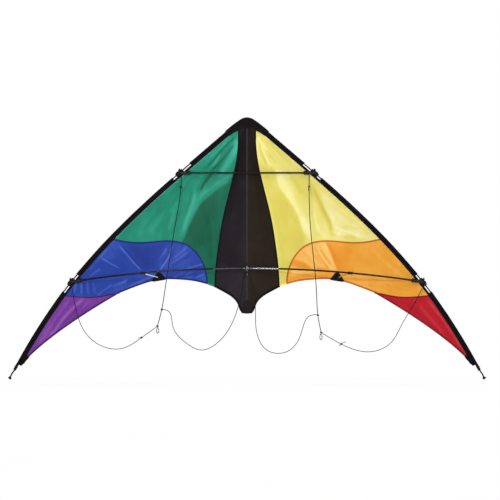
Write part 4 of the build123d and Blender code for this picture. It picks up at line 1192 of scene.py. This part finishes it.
    up_z, low_z = 286.1, -41.3
    up_d = le_frame(up_z)[1]
    low_d = le_frame(low_z)[1]
    up_a, up_b = 42.0 * abs(up_d[1]), 26.0 * abs(up_d[1])
    low_a, low_b = 29.0 * abs(low_d[1]), 38.0 * abs(low_d[1])
    sleeve = joined("le_sleeve_cloth_" + label, [
        sleeve_run(412.0, up_z + up_a, True),
        sleeve_run(up_z + up_a + 0.4, up_z - up_b - 0.4, False),
        sleeve_run(up_z - up_b, low_z + low_a, True),
        sleeve_run(low_z + low_a + 0.4, low_z - low_b - 0.4, False),
        sleeve_run(low_z - low_b, -287.5, True),
    ], SLEEVE, sharp=55)
    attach(sleeve, wing(side))
    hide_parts("le_sleeve_" + label)

    def flat(x, z):
        return np.zeros_like(np.asarray(x, float))

    sleeve_thread = Stitches()
    inner_line = between(LE_INNER, 404.0, -250.0, 5.0)
    sleeve_thread.row(side, inner_line, 1.7, 3.4, 0.72, y_of=flat, cloth=0.55)
    sleeve_thread.row(side, inner_line, 4.3, 3.4, 0.78, y_of=flat, cloth=0.75)
    piece = sleeve_thread.build("stitching_sleeve_" + label, THREAD["black"])
    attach(piece, wing(side))

    # the black reinforcement that closes the sail at the tip
    tip_poly = [(651.5, -262.6), (658.5, -262.2), (672.0, -276.0), (681.5, -289.5), (676.0, -291.5), (664.0, -279.5), (655.0, -269.5)]
    gusset = closed_sheet("tip_reinforcement_" + label, side, tip_poly, 3.0, lambda x, z: np.full_like(x, -0.9), lambda x, z: np.full_like(x, 1.2), SLEEVE)
    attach(gusset, wing(side))

    # ------------------------------------------------------------ nose cover
    axis_pts = np.array([tuple(p) for p in LE_AXIS.sample(3.0)])

    def near_le(x, z):
        best = np.full(np.shape(x), 1e9)
        for a in axis_pts[:40]:
            best = np.minimum(best, np.hypot(x - a[0], z - a[1]))
        return best

    nose_poly = [
        (0, 453.0), (6, 452.5), (11.5, 451.0), (17.0, 448.6), (23.5, 444.6), (35.6, 436.0), (50, 424.8), (60, 416.4), (66.0, 410.8),
        (65.0, 408.6), (55.6, 397.6), (52.6, 397.8), (43, 404.2), (35, 409.4), (30, 411.0), (26, 415.5), (20, 420.6), (10, 422.3), (0, 422.6),
    ]

    def nose_front(x, z):
        rim = smooth((452.9 - z) / 4.0)
        lump = 2.6 * np.exp(-((near_le(x, z) / 4.2) ** 2)) * smooth((442 - z) / 6)
        return -1.25 - lump - 0.5 * rim

    def nose_back(x, z):
        lump = 2.6 * np.exp(-((near_le(x, z) / 4.4) ** 2)) * smooth((442 - z) / 6)
        spine = 7.6 * np.exp(-((x / 6.2) ** 4)) * (0.35 + 0.65 * smooth((452 - z) / 9.0))
        return 1.5 + np.maximum(lump, spine)

    nose = closed_sheet("nose_cover_" + label, side, nose_poly, 2.6, nose_front, nose_back, WEBBING)
    bend(nose, side)
    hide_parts("nose_flap_" + label, "nose_webbing")
    nose_thread = Stitches()
    for offset in (0.0, 2.2):
        low_line = [(x, 424.2 + offset) for x in np.arange(1.0, 25.0, 3.0)]
        nose_thread.row(side, low_line, 0.0, 3.0, 0.15, y_of=nose_front, both=False)
    side_line = [(62.8, 411.4), (54.6, 401.0)]
    nose_thread.row(side, [tuple(p) for p in Run(side_line).sample(3.0)], 0.0, 3.0, 0.2, y_of=nose_front, both=False)
    nose_thread.row(side, [tuple(p) for p in Run([(60.8, 412.8), (52.8, 402.4)]).sample(3.0)], 0.0, 3.0, 0.2, y_of=nose_front, both=False)
    piece = nose_thread.build("stitching_nose_" + label, THREAD["black"])
    bend(piece, side)

    # ------------------------------------------------------------ spine tunnel, in two halves that meet on the spine's line
    def tunnel_half(z_high, z_low):
        outer = [(0.0, 9.1), (1.6, 8.75), (3.0, 7.7), (4.1, 6.0), (4.5, 4.3), (4.9, 2.7), (6.0, 1.35), (7.6, 1.0), (9.6, 0.95), (11.0, 0.80)]
        inner = [(0.0, 8.55), (1.4, 8.25), (2.6, 7.35), (3.6, 5.8), (3.95, 4.3), (4.2, 2.5), (5.0, 0.95), (7.2, 0.62), (9.6, 0.58), (11.0, 0.58)]
        ring = outer + list(reversed(inner))
        m = len(ring)
        n = max(3, int((z_high - z_low) / 6.0))
        verts, faces = [], []
        for z in np.linspace(z_high, z_low, n):
            wob = 0.16 * math.sin(z * 0.21 + side) + 0.12 * math.sin(z * 0.083)
            lie = depth(side, np.array([p[0] for p in ring]), np.full(m, z))
            for k, (x, y) in enumerate(ring):
                xx = x + (wob * 0.6 if 3.0 < x < 4.6 else 0.0)
                share = float(smooth((x - 3.4) / 1.4))
                verts.append((side * xx * MM, (y + lie[k] * share + (wob if 0.5 < x < 4.6 else 0.0)) * MM, z * MM))
        for i in range(n - 1):
            for j in range(m):
                faces.append((i * m + j, i * m + (j + 1) % m, (i + 1) * m + (j + 1) % m, (i + 1) * m + j))
        half = m // 2
        for i in (0, n - 1):
            for j in range(half - 1):
                quad = (i * m + j, i * m + j + 1, i * m + m - 2 - j, i * m + m - 1 - j)
                faces.append(quad if i else tuple(reversed(quad)))
        return verts, faces

    tunnel = joined("spine_tunnel_" + label, [tunnel_half(424.0, 13.5), tunnel_half(-13.5, -100.0)], SLEEVE, sharp=55)
    bend(tunnel, side)
    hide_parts("spine_sleeve")
    back_rows, front_rows = Stitches(), Stitches()
    for top, low in ((418.0, 15.0), (-15.0, -98.0)):
        z = top
        while z > low + 3.4:
            ya, yb = depth(side, np.array([9.3, 9.3]), np.array([z, z - 2.5]))
            back_rows.thread((side * 9.3, ya + 1.02, z), (side * 9.3, yb + 1.02, z - 2.5), (0, 1, 0))
            front_rows.thread((side * 9.3, ya + 0.02, z), (side * 9.3, yb + 0.02, z - 2.5), (0, -1, 0), width=0.4, height=0.12)
            z -= 3.4
    for piece in (
        back_rows.build("stitching_tunnel_" + label, THREAD["black"]),
        front_rows.build("stitching_tunnel_front_" + label, THREAD["faint"]),
    ):
        bend(piece, side)

    # ------------------------------------------------------------ tail strap, folded under the spine's end
    tail_poly = [(0, -98.6), (9.0, -98.6), (10.6, -104), (11.6, -112), (12.4, -124), (12.0, -131.5), (9.6, -135.2), (5, -136.0), (0, -136.2)]

    def tail_front(x, z):
        return -0.95 - 0.7 * smooth((z + 136) / 5.0) * smooth((12.4 - x) / 2.0)

    def tail_back(x, z):
        return 1.3 + 7.4 * np.exp(-((x / 6.0) ** 4)) * (0.3 + 0.7 * smooth((z + 136.2) / 7.0))

    strap = closed_sheet("tail_strap_webbing_" + label, side, tail_poly, 2.4, tail_front, tail_back, STRAP)
    bend(strap, side)
    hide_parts("tail_strap")
    strap_thread = Stitches()
    for z0 in (-101.5, -104.0):
        strap_thread.row(side, [(x, z0) for x in np.arange(0.8, 9.0, 2.0)], 0.0, 2.8, 0.1, y_of=tail_front, both=False)
    strap_thread.row(side, [(7.8, z) for z in np.arange(-105, -132, -3.0)], 0.0, 2.9, 0.1, y_of=tail_front, both=False)
    piece = strap_thread.build("stitching_tail_" + label, THREAD["black"])
    bend(piece, side)

    # the raised seam down the middle of the black panel
    ridge = band("spine_seam_" + label, side, [(0.9, z) for z in np.arange(420.0, 12.0, -5.0)], [-0.85, -0.3, 0.6], [0.55, 0.52, 0.06], SPINE_SEAM)
    bend(ridge, side)
    ridge_low = band("spine_seam_low_" + label, side, [(0.9, z) for z in np.arange(-14.0, -98.0, -5.0)], [-0.85, -0.3, 0.6], [0.55, 0.52, 0.06], SPINE_SEAM)
    bend(ridge_low, side)

# ------------------------------------------------------------------ mouldings
for label, side in SIDES:
    def world(p, side=side):
        return (side * p[0], p[1], p[2])

    def barrel_ends(z, half):
        p, d, out = le_frame(z)
        a = np.array([p[0] - d[0] * half, 0.0, p[1] - d[1] * half])
        b = np.array([p[0] + d[0] * half, 0.0, p[1] + d[1] * half])
        return a, b, np.array([p[0], 0.0, p[1]]), np.array([d[0], 0.0, d[1]]), np.array([out[0], 0.0, out[1]])

    beads = [(0.0, 4.2), (0.03, 5.6), (0.10, 6.0), (0.18, 5.6), (0.24, 5.2), (0.5, 5.8), (0.76, 5.2), (0.82, 5.6), (0.90, 6.0), (0.97, 5.6), (1.0, 4.2)]
    arm_ribs = [(0.0, 5.0), (0.02, 6.0), (0.12, 6.2), (0.17, 5.3), (0.24, 5.9), (0.30, 5.3), (0.37, 5.9), (0.44, 5.4), (0.7, 5.7), (1.0, 6.2)]
    for level, z, mouth, direction, reach in (
        ("upper", 286.1, None, np.array([1.0, 0, 0]), 33.0),
        ("lower", -41.3, spreader_point(494.0), spreader_point(494.0) - spreader_point(492.0), 34.0),
    ):
        a, b, c, d, out = barrel_ends(z, 13.5)
        direction = direction / np.linalg.norm(direction)
        if mouth is None:
            mouth = np.array([c[0] - 33.0, SPREADER_Y, z])
        end = mouth + direction * reach
        web = c + (mouth - c) * 0.42
        parts = [
            lathe(world(a), world(b), beads),
            lathe(world(mouth), world(end), arm_ribs),
            lathe(world(c), world(web + np.array([0, -1.2, 0])), [(0, 6.4), (0.3, 6.2), (0.7, 5.4), (1.0, 4.4)]),
            lathe(world(c + d * 6), world(web + d * 2.0), [(0, 4.4), (0.5, 4.2), (1.0, 3.2)]),
            lathe(world(c - d * 6), world(web - d * 2.0), [(0, 4.4), (0.5, 4.2), (1.0, 3.2)]),
            lathe(world(c - d * 4.6 + out * 3.0), world(c - d * 4.0 + out * 8.6), [(0, 4.4), (0.6, 4.0), (1.0, 2.6)]),
            lathe(world(c + d * 3.6 + out * 3.0), world(c + d * 4.4 + out * 7.8), [(0, 4.2), (0.6, 3.8), (1.0, 2.5)]),
        ]
        piece = moulding("%s_connector_moulding_%s" % (level, label), parts, RUBBER)
        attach(piece, wing(side))
        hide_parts("%s_connector_%s" % (level, label))

        # the bridle's hitch round the barrel
        loops = []
        for shift, lean in ((-8.2, 0.25), (-6.0, -0.2), (7.4, 0.2)):
            t = np.linspace(0, 2 * math.pi, 40, endpoint=False)
            centre_p = c + d * shift
            pts = np.array([
                world(centre_p + out * math.cos(k) * 6.4 + np.array([0, 1, 0]) * math.sin(k) * 6.4 + d * math.sin(k + 1.0) * lean * 4)
                for k in t
            ])
            loops.append(rope_mesh(pts, CORD_R, sides=8, closed=True))
        tail = Run([world(c + d * (-6.0) + out * 6.8 + np.array([0, -1.5, 0])), world(c - d * 6.5 + out * 8.6 + np.array([0, -2.5, 0])), world(c - d * 9.0 + out * 9.4 + np.array([0, -2.2, 0]))])
        loops.append(rope_mesh(tail.sample(1.2), CORD_R, sides=8))
        loops.append(knot_mesh(world(c - d * 6.4 + out * 7.6 + np.array([0, -2.6, 0])), world(d), 2.2))
        hitch = joined("%s_bridle_hitch_%s" % (level, label), loops, CORD)
        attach(hitch, wing(side))

    # stand-off clip on the spreader
    outwards = 6.0 if side > 0 else 0.0
    cc = spreader_point(313.0 - 0.6 * outwards)
    cd = spreader_point(315.0) - spreader_point(311.0)
    cd /= np.linalg.norm(cd)
    fx, fz = 266.5 + outwards * 1.4, -28.5
    r0 = math.hypot(fx, APEX_Z - fz)
    a0 = sum(c0 * (r0 / 1000.0) ** i for i, c0 in enumerate(LE_ANGLE))
    fy = r0 * BILLOW * math.sin(math.pi * (math.atan2(fx, APEX_Z - fz) / a0) ** BILLOW_POWER)
    foot = np.array([fx, fy - 2.4, fz])
    sd = foot - cc
    sd /= np.linalg.norm(sd)
    clip = moulding("standoff_clip_moulding_" + label, [
        lathe(world(cc - cd * 7.2), world(cc + cd * 7.2), [(0, 3.4), (0.06, 4.4), (0.2, 4.6), (0.3, 4.1), (0.7, 4.1), (0.8, 4.6), (0.94, 4.4), (1, 3.4)]),
        lathe(world(cc), world(cc + sd * 13.0), [(0, 3.6), (0.3, 3.4), (0.6, 2.9), (0.82, 2.9), (0.88, 3.3), (0.97, 3.2), (1, 2.6)]),
    ], RUBBER)
    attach(clip, wing(side))
    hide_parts("standoff_clip_" + label)

    # the right stand-off rod has painted shade and a painted orange reflection
    rod = new_object("standoff_rod_" + label, *[
        [tuple(c * MM for c in p) for p in v] if i == 0 else v
        for i, v in enumerate(lathe(world(cc + sd * 3.0), world(foot - sd * 1.0), [(0, 1.3), (0.01, 1.6), (0.99, 1.6), (1, 1.3)], sides=20))
    ], ROD_PALE if side < 0 else ROD_PALE_SHADED)
    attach(rod, wing(side))
    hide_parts("standoff_" + label)

    # the stand-off's foot: a sewn patch and its moulded socket
    patch_poly = [(262.0, -11.5), (266.5, -10.6), (271.5, -11.8), (281.5, -27.0), (288.6, -38.6), (283.0, -41.2), (266.0, -38.6), (248.0, -35.4), (244.6, -33.6), (252.0, -24.0)]
    patch_poly = [(x + outwards, z - 0.12 * outwards) for x, z in patch_poly]
    patch = closed_sheet(
        "standoff_patch_cloth_" + label, side, patch_poly, 2.6,
        lambda x, z, side=side: depth(side, x, z) - 0.75, lambda x, z, side=side: depth(side, x, z) + CLOTH + 0.6, PATCH,
    )
    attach(patch, wing(side))
    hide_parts("standoff_patch_" + label)
    socket = moulding("standoff_socket_" + label, [
        lathe(world(foot + sd * 0.8), world(foot - sd * 7.0), [(0, 3.4), (0.12, 3.6), (0.6, 2.9), (0.86, 2.75), (0.92, 3.1), (0.98, 3.0), (1.0, 2.5)]),
        lathe(world(foot + np.array([0, 1.6, 0])), world(foot + np.array([0, -1.6, 0])), [(0, 6.6), (0.5, 6.2), (1.0, 4.0)]),
    ], RUBBER)
    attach(socket, wing(side))
    patch_thread = Stitches()
    inset = [(264, -15), (256, -25.5), (249.5, -33.2), (266, -36.0), (282.5, -38.4), (277.5, -27.5), (269, -15), (264, -15)]
    inset = [(x + outwards, z - 0.12 * outwards) for x, z in inset]
    patch_thread.row(side, densify(inset[:-1], 2.0) + [inset[0]], 0.0, 3.0, 0.80, cloth=CLOTH + 0.0)
    piece = patch_thread.build("stitching_patch_" + label, THREAD["black"])
    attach(piece, wing(side))

    # tip cap and its tension cord
    p, d, out = le_frame(-288.0)
    cap_a = np.array([p[0], 0.0, p[1]])
    cap_d = np.array([d[0], 0.0, d[1]])
    cap_out = np.array([out[0], 0.0, out[1]])
    cap = moulding("tip_cap_moulding_" + label, [
        lathe(world(cap_a - cap_d * 1.0), world(cap_a + cap_d * 15.4), [(0, 3.9), (0.06, 4.7), (0.16, 4.8), (0.22, 4.3), (0.8, 4.1), (0.88, 4.5), (0.97, 4.2), (1, 3.2)]),
        lathe(world(cap_a + cap_d * 12 + cap_out * 2.6), world(cap_a + cap_d * 20 + cap_out * 2.7), [(0, 1.9), (0.8, 1.8), (1, 1.0)]),
        lathe(world(cap_a + cap_d * 12 - cap_out * 2.6), world(cap_a + cap_d * 20 - cap_out * 2.7), [(0, 1.9), (0.8, 1.8), (1, 1.0)]),
    ], VINYL, voxel=0.5, rounds=2)
    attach(cap, wing(side))
    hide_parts("tip_cap_" + label)
    start = cap_a + cap_d * 14.5
    end = np.array([711.0, -2.0, -329.5])
    path = Run([world(start), world(start + cap_d * 6), world((start + end) / 2 + np.array([1.2, 0, 0.5])), world(end)])
    cord_parts = [rope_mesh(path.sample(1.0), 2.25, sides=14, pitch=6.0, groove=0.06)]
    cord_parts.append(knot_mesh(world(end + np.array([0.3, 0, 0.6])), world(end - start), 3.3, cord=2.0))
    wrap = []
    for k in np.linspace(0, 2 * math.pi, 44, endpoint=False):
        wrap.append(world(cap_a + cap_d * (9.5 + 0.8 * math.sin(k)) + cap_out * math.cos(k) * 5.3 + np.array([0, math.sin(k) * 5.3, 0])))
    cord_parts.append(rope_mesh(wrap, 1.0, sides=8, closed=True))
    piece = joined("tip_tension_cord_" + label, cord_parts, TIP_CORD)
    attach(piece, wing(side))
    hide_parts("tip_cord_" + label)

# the spreaders: pultruded rods with a chamfer at each end
rods = []
low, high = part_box("upper_spreader")
mid_y, mid_z = (low[1] + high[1]) / 2 / MM, (low[2] + high[2]) / 2 / MM
rods.append(("upper_spreader_rod", "upper_spreader", "wing_right", [(x, mid_y, mid_z) for x in np.linspace(low[0] / MM, high[0] / MM, 40)]))
for label, side in SIDES:
    low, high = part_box("lower_spreader_" + label)
    near, far = sorted((abs(low[0]) / MM, abs(high[0]) / MM))
    rods.append(("lower_spreader_rod_" + label, "lower_spreader_" + label, wing(side), [
        (side * p[0], p[1], p[2]) for p in (spreader_point(x) for x in np.linspace(near, far, 70))
    ]))
for name, node, body, path in rods:
    radius = np.full(len(path), 2.7)
    radius[0] = radius[-1] = 2.3
    # the lower spreaders take the rods with painted highlights
    obj = rope(name, path, radius, {"lower_spreader_rod_right": ROD_LIT, "lower_spreader_rod_left": ROD_WEAK_HIGHLIGHT}.get(name, ROD), sides=24, groove=0.0)
    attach(obj, body)
    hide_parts(node)

# the centre T
t_parts = [
    lathe((-14.6, SPREADER_Y, 0), (14.6, SPREADER_Y, 0), [(0, 3.5), (0.03, 4.4), (0.10, 4.7), (0.16, 4.2), (0.3, 4.0), (0.42, 4.9), (0.58, 4.9), (0.7, 4.0), (0.84, 4.2), (0.90, 4.7), (0.97, 4.4), (1, 3.5)]),
    lathe((0, SPREADER_Y - 0.5, 8.0), (0, SPREADER_Y - 0.5, -9.0), [(0, 2.6), (0.1, 3.9), (0.5, 4.9), (0.9, 4.0), (1, 3.2)]),
    lathe((0, SPREADER_Y, 0), (0, SPINE_Y, 0), [(0, 4.4), (0.5, 3.6), (1, 4.4)]),
    lathe((0, SPREADER_Y, 4.0), (0, SPINE_Y, 4.0), [(0, 3.0), (0.5, 2.8), (1, 3.4)]),
    lathe((0, SPREADER_Y, -4.0), (0, SPINE_Y, -4.0), [(0, 3.0), (0.5, 2.8), (1, 3.4)]),
    lathe((0, SPINE_Y, 9.4), (0, SPINE_Y, -9.4), [(0, 3.9), (0.06, 4.7), (0.14, 4.8), (0.2, 4.5), (0.8, 4.5), (0.86, 4.8), (0.94, 4.7), (1, 3.9)]),
    lathe((0, SPREADER_Y, -4.0), (0, SPREADER_Y - 0.6, -22.4), [(0, 3.8), (0.3, 3.3), (0.7, 2.9), (0.82, 3.5), (0.95, 3.3), (1, 2.2)]),
]
tee = moulding("centre_t_moulding", t_parts, RUBBER_T, voxel=0.55)
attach(tee, "spine_group")
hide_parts("centre_t")
wraps = []
for k, (zc, lean) in enumerate(((-11.0, 0.9), (-12.8, -0.7), (-14.4, 0.5))):
    pts = [(3.9 * math.cos(a), SPREADER_Y - 0.3 + 3.9 * math.sin(a), zc + lean * math.sin(a + k)) for a in np.linspace(0, 2 * math.pi, 36, endpoint=False)]
    wraps.append(rope_mesh(pts, CORD_R, sides=8, closed=True))
wraps.append(knot_mesh((0.4, SPREADER_Y - 4.6, -12.6), (1, 0, 0.2), 1.7))
hitch = joined("inner_bridle_hitch", wraps, CORD)
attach(hitch, "spine_group")

# ------------------------------------------------------------------ bridle
UPPER_LEG_LEFT = [
    (-197.0, -7.0, 280.2), (-198.0, -11.0, 244.5), (-213.0, -17.0, 140.0), (-232.0, -22.5, 23.0),
    (-248.0, -23.0, -82.0), (-255.0, -23.0, -123.0), (-268.0, -23.0, -173.0),
]
UPPER_LEG_RIGHT = [
    (186.0, -7.0, 280.2), (186.0, -11.0, 244.5), (188.0, -15.0, 157.0), (197.0, -21.0, 50.0),
    (208.0, -23.0, -72.6), (212.0, -23.0, -140.0), (222.0, -23.0, -192.0),
]
OUTER_LEG_LEFT = [
    (-270.6, -23.0, -174.9), (-315.0, -24.0, -207.0), (-377.0, -24.5, -240.0), (-435.0, -23.0, -232.0),
    (-487.5, -18.0, -187.0), (-511.5, -14.0, -125.0), (-523.5, -9.5, -60.0),
]
OUTER_LEG_RIGHT = [
    (224.6, -23.0, -193.8), (282.0, -24.0, -226.5), (373.0, -24.0, -249.0), (430.0, -21.5, -223.0),
    (463.5, -18.0, -168.0), (504.0, -12.0, -101.0), (524.0, -9.5, -60.0),
]
INNER_LEG_LEFT = [
    (-252.1, -23.2, -121.8), (-235.0, -24.5, -128.0), (-222.0, -25.5, -172.0), (-182.0, -26.0, -223.0),
    (-138.0, -25.5, -244.0), (-78.0, -22.8, -213.0), (-38.0, -18.5, -149.0), (-15.0, -13.8, -62.0),
    (-8.0, -12.0, -12.0),
]
INNER_LEG_RIGHT = [
    (209.2, -23.2, -138.8), (190.0, -24.5, -141.0), (160.0, -25.5, -200.0), (114.0, -26.0, -251.0),
    (62.0, -24.0, -246.0), (29.0, -19.5, -190.0), (25.0, -16.5, -118.0), (8.0, -12.0, -12.0),
]


def bridle(name, body, points, node, knots=(), tails=(), size=CORD_R):
    run = Run(points)
    parts = [rope_mesh(run.sample(1.4), size, sides=10, pitch=4.5, groove=0.09)]
    for index, size in knots:
        p = points[index]
        q, o = points[min(index + 1, len(points) - 1)], points[max(index - 1, 0)]
        parts.append(knot_mesh(p, np.array(q) - np.array(o), size))
    for tail in tails:
        parts.append(rope_mesh(Run(tail).sample(1.0), CORD_R * 0.9, sides=8, pitch=4.0))
    obj = joined(name, parts, CORD)
    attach(obj, body)
    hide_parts(node)
    return obj


bridle("bridle_upper_line_left", "wing_left", UPPER_LEG_LEFT, "bridle_upper_leg_left",
       ((1, 2.3), (5, 2.6), (6, 2.9)),
       ([(-198.0, -11.5, 244.0), (-195.5, -12.5, 240.5), (-192.0, -12.0, 237.5)], [(-198.0, -10.5, 245.0), (-201.5, -11.5, 243.0), (-203.5, -11.0, 239.0)]), size=1.2)
bridle("bridle_upper_line_right", "wing_right", UPPER_LEG_RIGHT, "bridle_upper_leg_right",
       ((1, 2.3), (5, 2.6), (6, 2.9)),
       ([(186.0, -11.5, 244.0), (184.2, -12.5, 238.0), (184.6, -12.0, 232.0)],), size=1.2)
bridle("bridle_outer_line_left", "outer_leg_left", OUTER_LEG_LEFT, "bridle_outer_leg_left", ((1, 2.4),),
       ([(-316.0, -24.2, -207.5), (-321.0, -25.0, -207.4), (-324.5, -24.6, -209.0)],))
bridle("bridle_outer_line_right", "outer_leg_right", OUTER_LEG_RIGHT, "bridle_outer_leg_right", ((1, 2.4), (5, 2.0)),
       ([(282.0, -24.4, -226.0), (288.0, -25.4, -222.4), (295.5, -24.8, -220.0)], [(281.0, -24.4, -226.6), (277.0, -25.4, -230.0), (275.6, -25.0, -232.4)],
        [(504.5, -12.2, -101.6), (507.5, -13.0, -104.5), (508.0, -12.6, -108.0)]))
bridle("bridle_inner_line_left", "inner_leg_left", INNER_LEG_LEFT, "bridle_inner_leg_left")
bridle("bridle_inner_line_right", "inner_leg_right", INNER_LEG_RIGHT, "bridle_inner_leg_right")

for label, knot, lean in (("left", (-268.0, -23.0, -173.0), 0.8), ("right", (222.0, -23.0, -192.0), -0.6)):
    cx, cy, cz = knot[0] + lean, knot[1], knot[2] - 12.2
    shape = [(0, 8.6), (-1.6, 6.0), (-2.7, 3.0), (-3.4, -1.0), (-3.2, -4.6), (-1.8, -7.6), (0, -8.6), (1.8, -7.6), (3.2, -4.6), (3.4, -1.0), (2.7, 3.0), (1.6, 6.0), (0, 8.6)]
    ring = Run([(cx + x, cy + 0.25 * math.sin(z), cz + z) for x, z in shape]).sample(0.8)[:-1]
    parts = [rope_mesh(ring, CORD_R, sides=10, pitch=4.0, closed=True), knot_mesh((cx, cy, cz - 8.4), (0, 0, 1), 1.3, cord=0.65)]
    obj = joined("tow_loop_line_" + label, parts, CORD)
    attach(obj, "tow_loop_" + label)
    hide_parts("tow_loop_" + label)

# ------------------------------------------------------------------ studio
scene = bpy.context.scene
scene.view_settings.view_transform = "Standard"
scene.view_settings.look = "None"

FLOOR_Z = -0.345
floor_mesh = bpy.data.meshes.new("floor")
floor_mesh.from_pydata([(-40, -40, FLOOR_Z), (40, -40, FLOOR_Z), (40, 40, FLOOR_Z), (-40, 40, FLOOR_Z)], [], [(0, 1, 2, 3)])
floor = bpy.data.objects.new("floor", floor_mesh)
scene.collection.objects.link(floor)
g = Graph("floor_paper")
grain = g.mix(g.ramp(g.noise(3.0, 4.0), 0.3, 0.7, 0.0, 0.3), (1.0, 1.0, 1.0, 1), (0.985, 0.985, 0.985, 1))
# The camera sees the floor as an even white glow with a painted soft shadow under the kite, taken from an occlusion
# test.
shade = g.add("ShaderNodeAmbientOcclusion", {"Color": (1, 1, 1, 1), "Distance": 0.45}, samples=16).outputs["AO"]
shade = g.ramp(shade, 0.0, 1.0, 0.35, 1.0)
seen_floor = g.add("ShaderNodeEmission", {"Color": g.mix(1.0, grain, g.mix(shade, (0, 0, 0, 1), (1, 1, 1, 1)), "MULTIPLY"), "Strength": 1.0})
paper = g.add("ShaderNodeBsdfPrincipled", {
    "Base Color": (0.86, 0.86, 0.86, 1), "Roughness": 0.9, "Specular IOR Level": 0.05,
    "Normal": g.bump(g.noise(400.0, 3.0), 0.0002, 0.2), "Emission Color": (1, 1, 1, 1), "Emission Strength": 0.12,
})
rays = g.add("ShaderNodeLightPath").outputs["Is Camera Ray"]
floor_mix = g.add("ShaderNodeMixShader", {0: rays, 1: paper.outputs[0], 2: seen_floor.outputs[0]})
floor_mesh.materials.append(g.finish(floor_mix.outputs[0]))

world = bpy.data.worlds.new("studio")
scene.world = world
world.use_nodes = True
nt = world.node_tree
nt.nodes.clear()
out = nt.nodes.new("ShaderNodeOutputWorld")
mix = nt.nodes.new("ShaderNodeMixShader")
path = nt.nodes.new("ShaderNodeLightPath")
dim = nt.nodes.new("ShaderNodeBackground")
seen = nt.nodes.new("ShaderNodeBackground")
dim.inputs[0].default_value = (1, 1, 1, 1)
dim.inputs[1].default_value = 0.42
seen.inputs[0].default_value = (1, 1, 1, 1)
seen.inputs[1].default_value = 1.0
nt.links.new(path.outputs["Is Camera Ray"], mix.inputs[0])
nt.links.new(dim.outputs[0], mix.inputs[1])
nt.links.new(seen.outputs[0], mix.inputs[2])
nt.links.new(mix.outputs[0], out.inputs[0])


def area(name, place, target, size, power, colour=(1, 1, 1)):
    light = bpy.data.lights.new(name, "AREA")
    light.shape = "RECTANGLE"
    light.size, light.size_y = size
    light.energy = power
    light.color = colour
    obj = bpy.data.objects.new(name, light)
    scene.collection.objects.link(obj)
    obj.location = place
    obj.rotation_euler = (Vector(target) - Vector(place)).to_track_quat("-Z", "Y").to_euler()
    obj.visible_camera = False
    return obj


area("key", (1.3, -3.0, 1.9), (0, 0, 0.05), (1.3, 1.3), 58)
area("fill", (0.5, -3.0, -0.1), (0.0, 0, 0.05), (2.4, 0.5), 20)
area("glint", (-0.40, -3.0, 0.75), (0, 0, 0.0), (0.40, 0.22), 40)
area("back", (0.0, 3.0, 1.6), (0, 0, 0.0), (2.2, 2.2), 45)

cam_data = bpy.data.cameras.new("camera")
cam_data.sensor_width = 36.0
cam_data.lens = 36.0 * 8.0 / 1.5
camera = bpy.data.objects.new("camera", cam_data)
scene.collection.objects.link(camera)
camera.location = (0.009, -8.0, 0.0549)
camera.rotation_euler = (math.radians(90), 0, 0)
cam_data.clip_start, cam_data.clip_end = 0.1, 200
scene.camera = camera
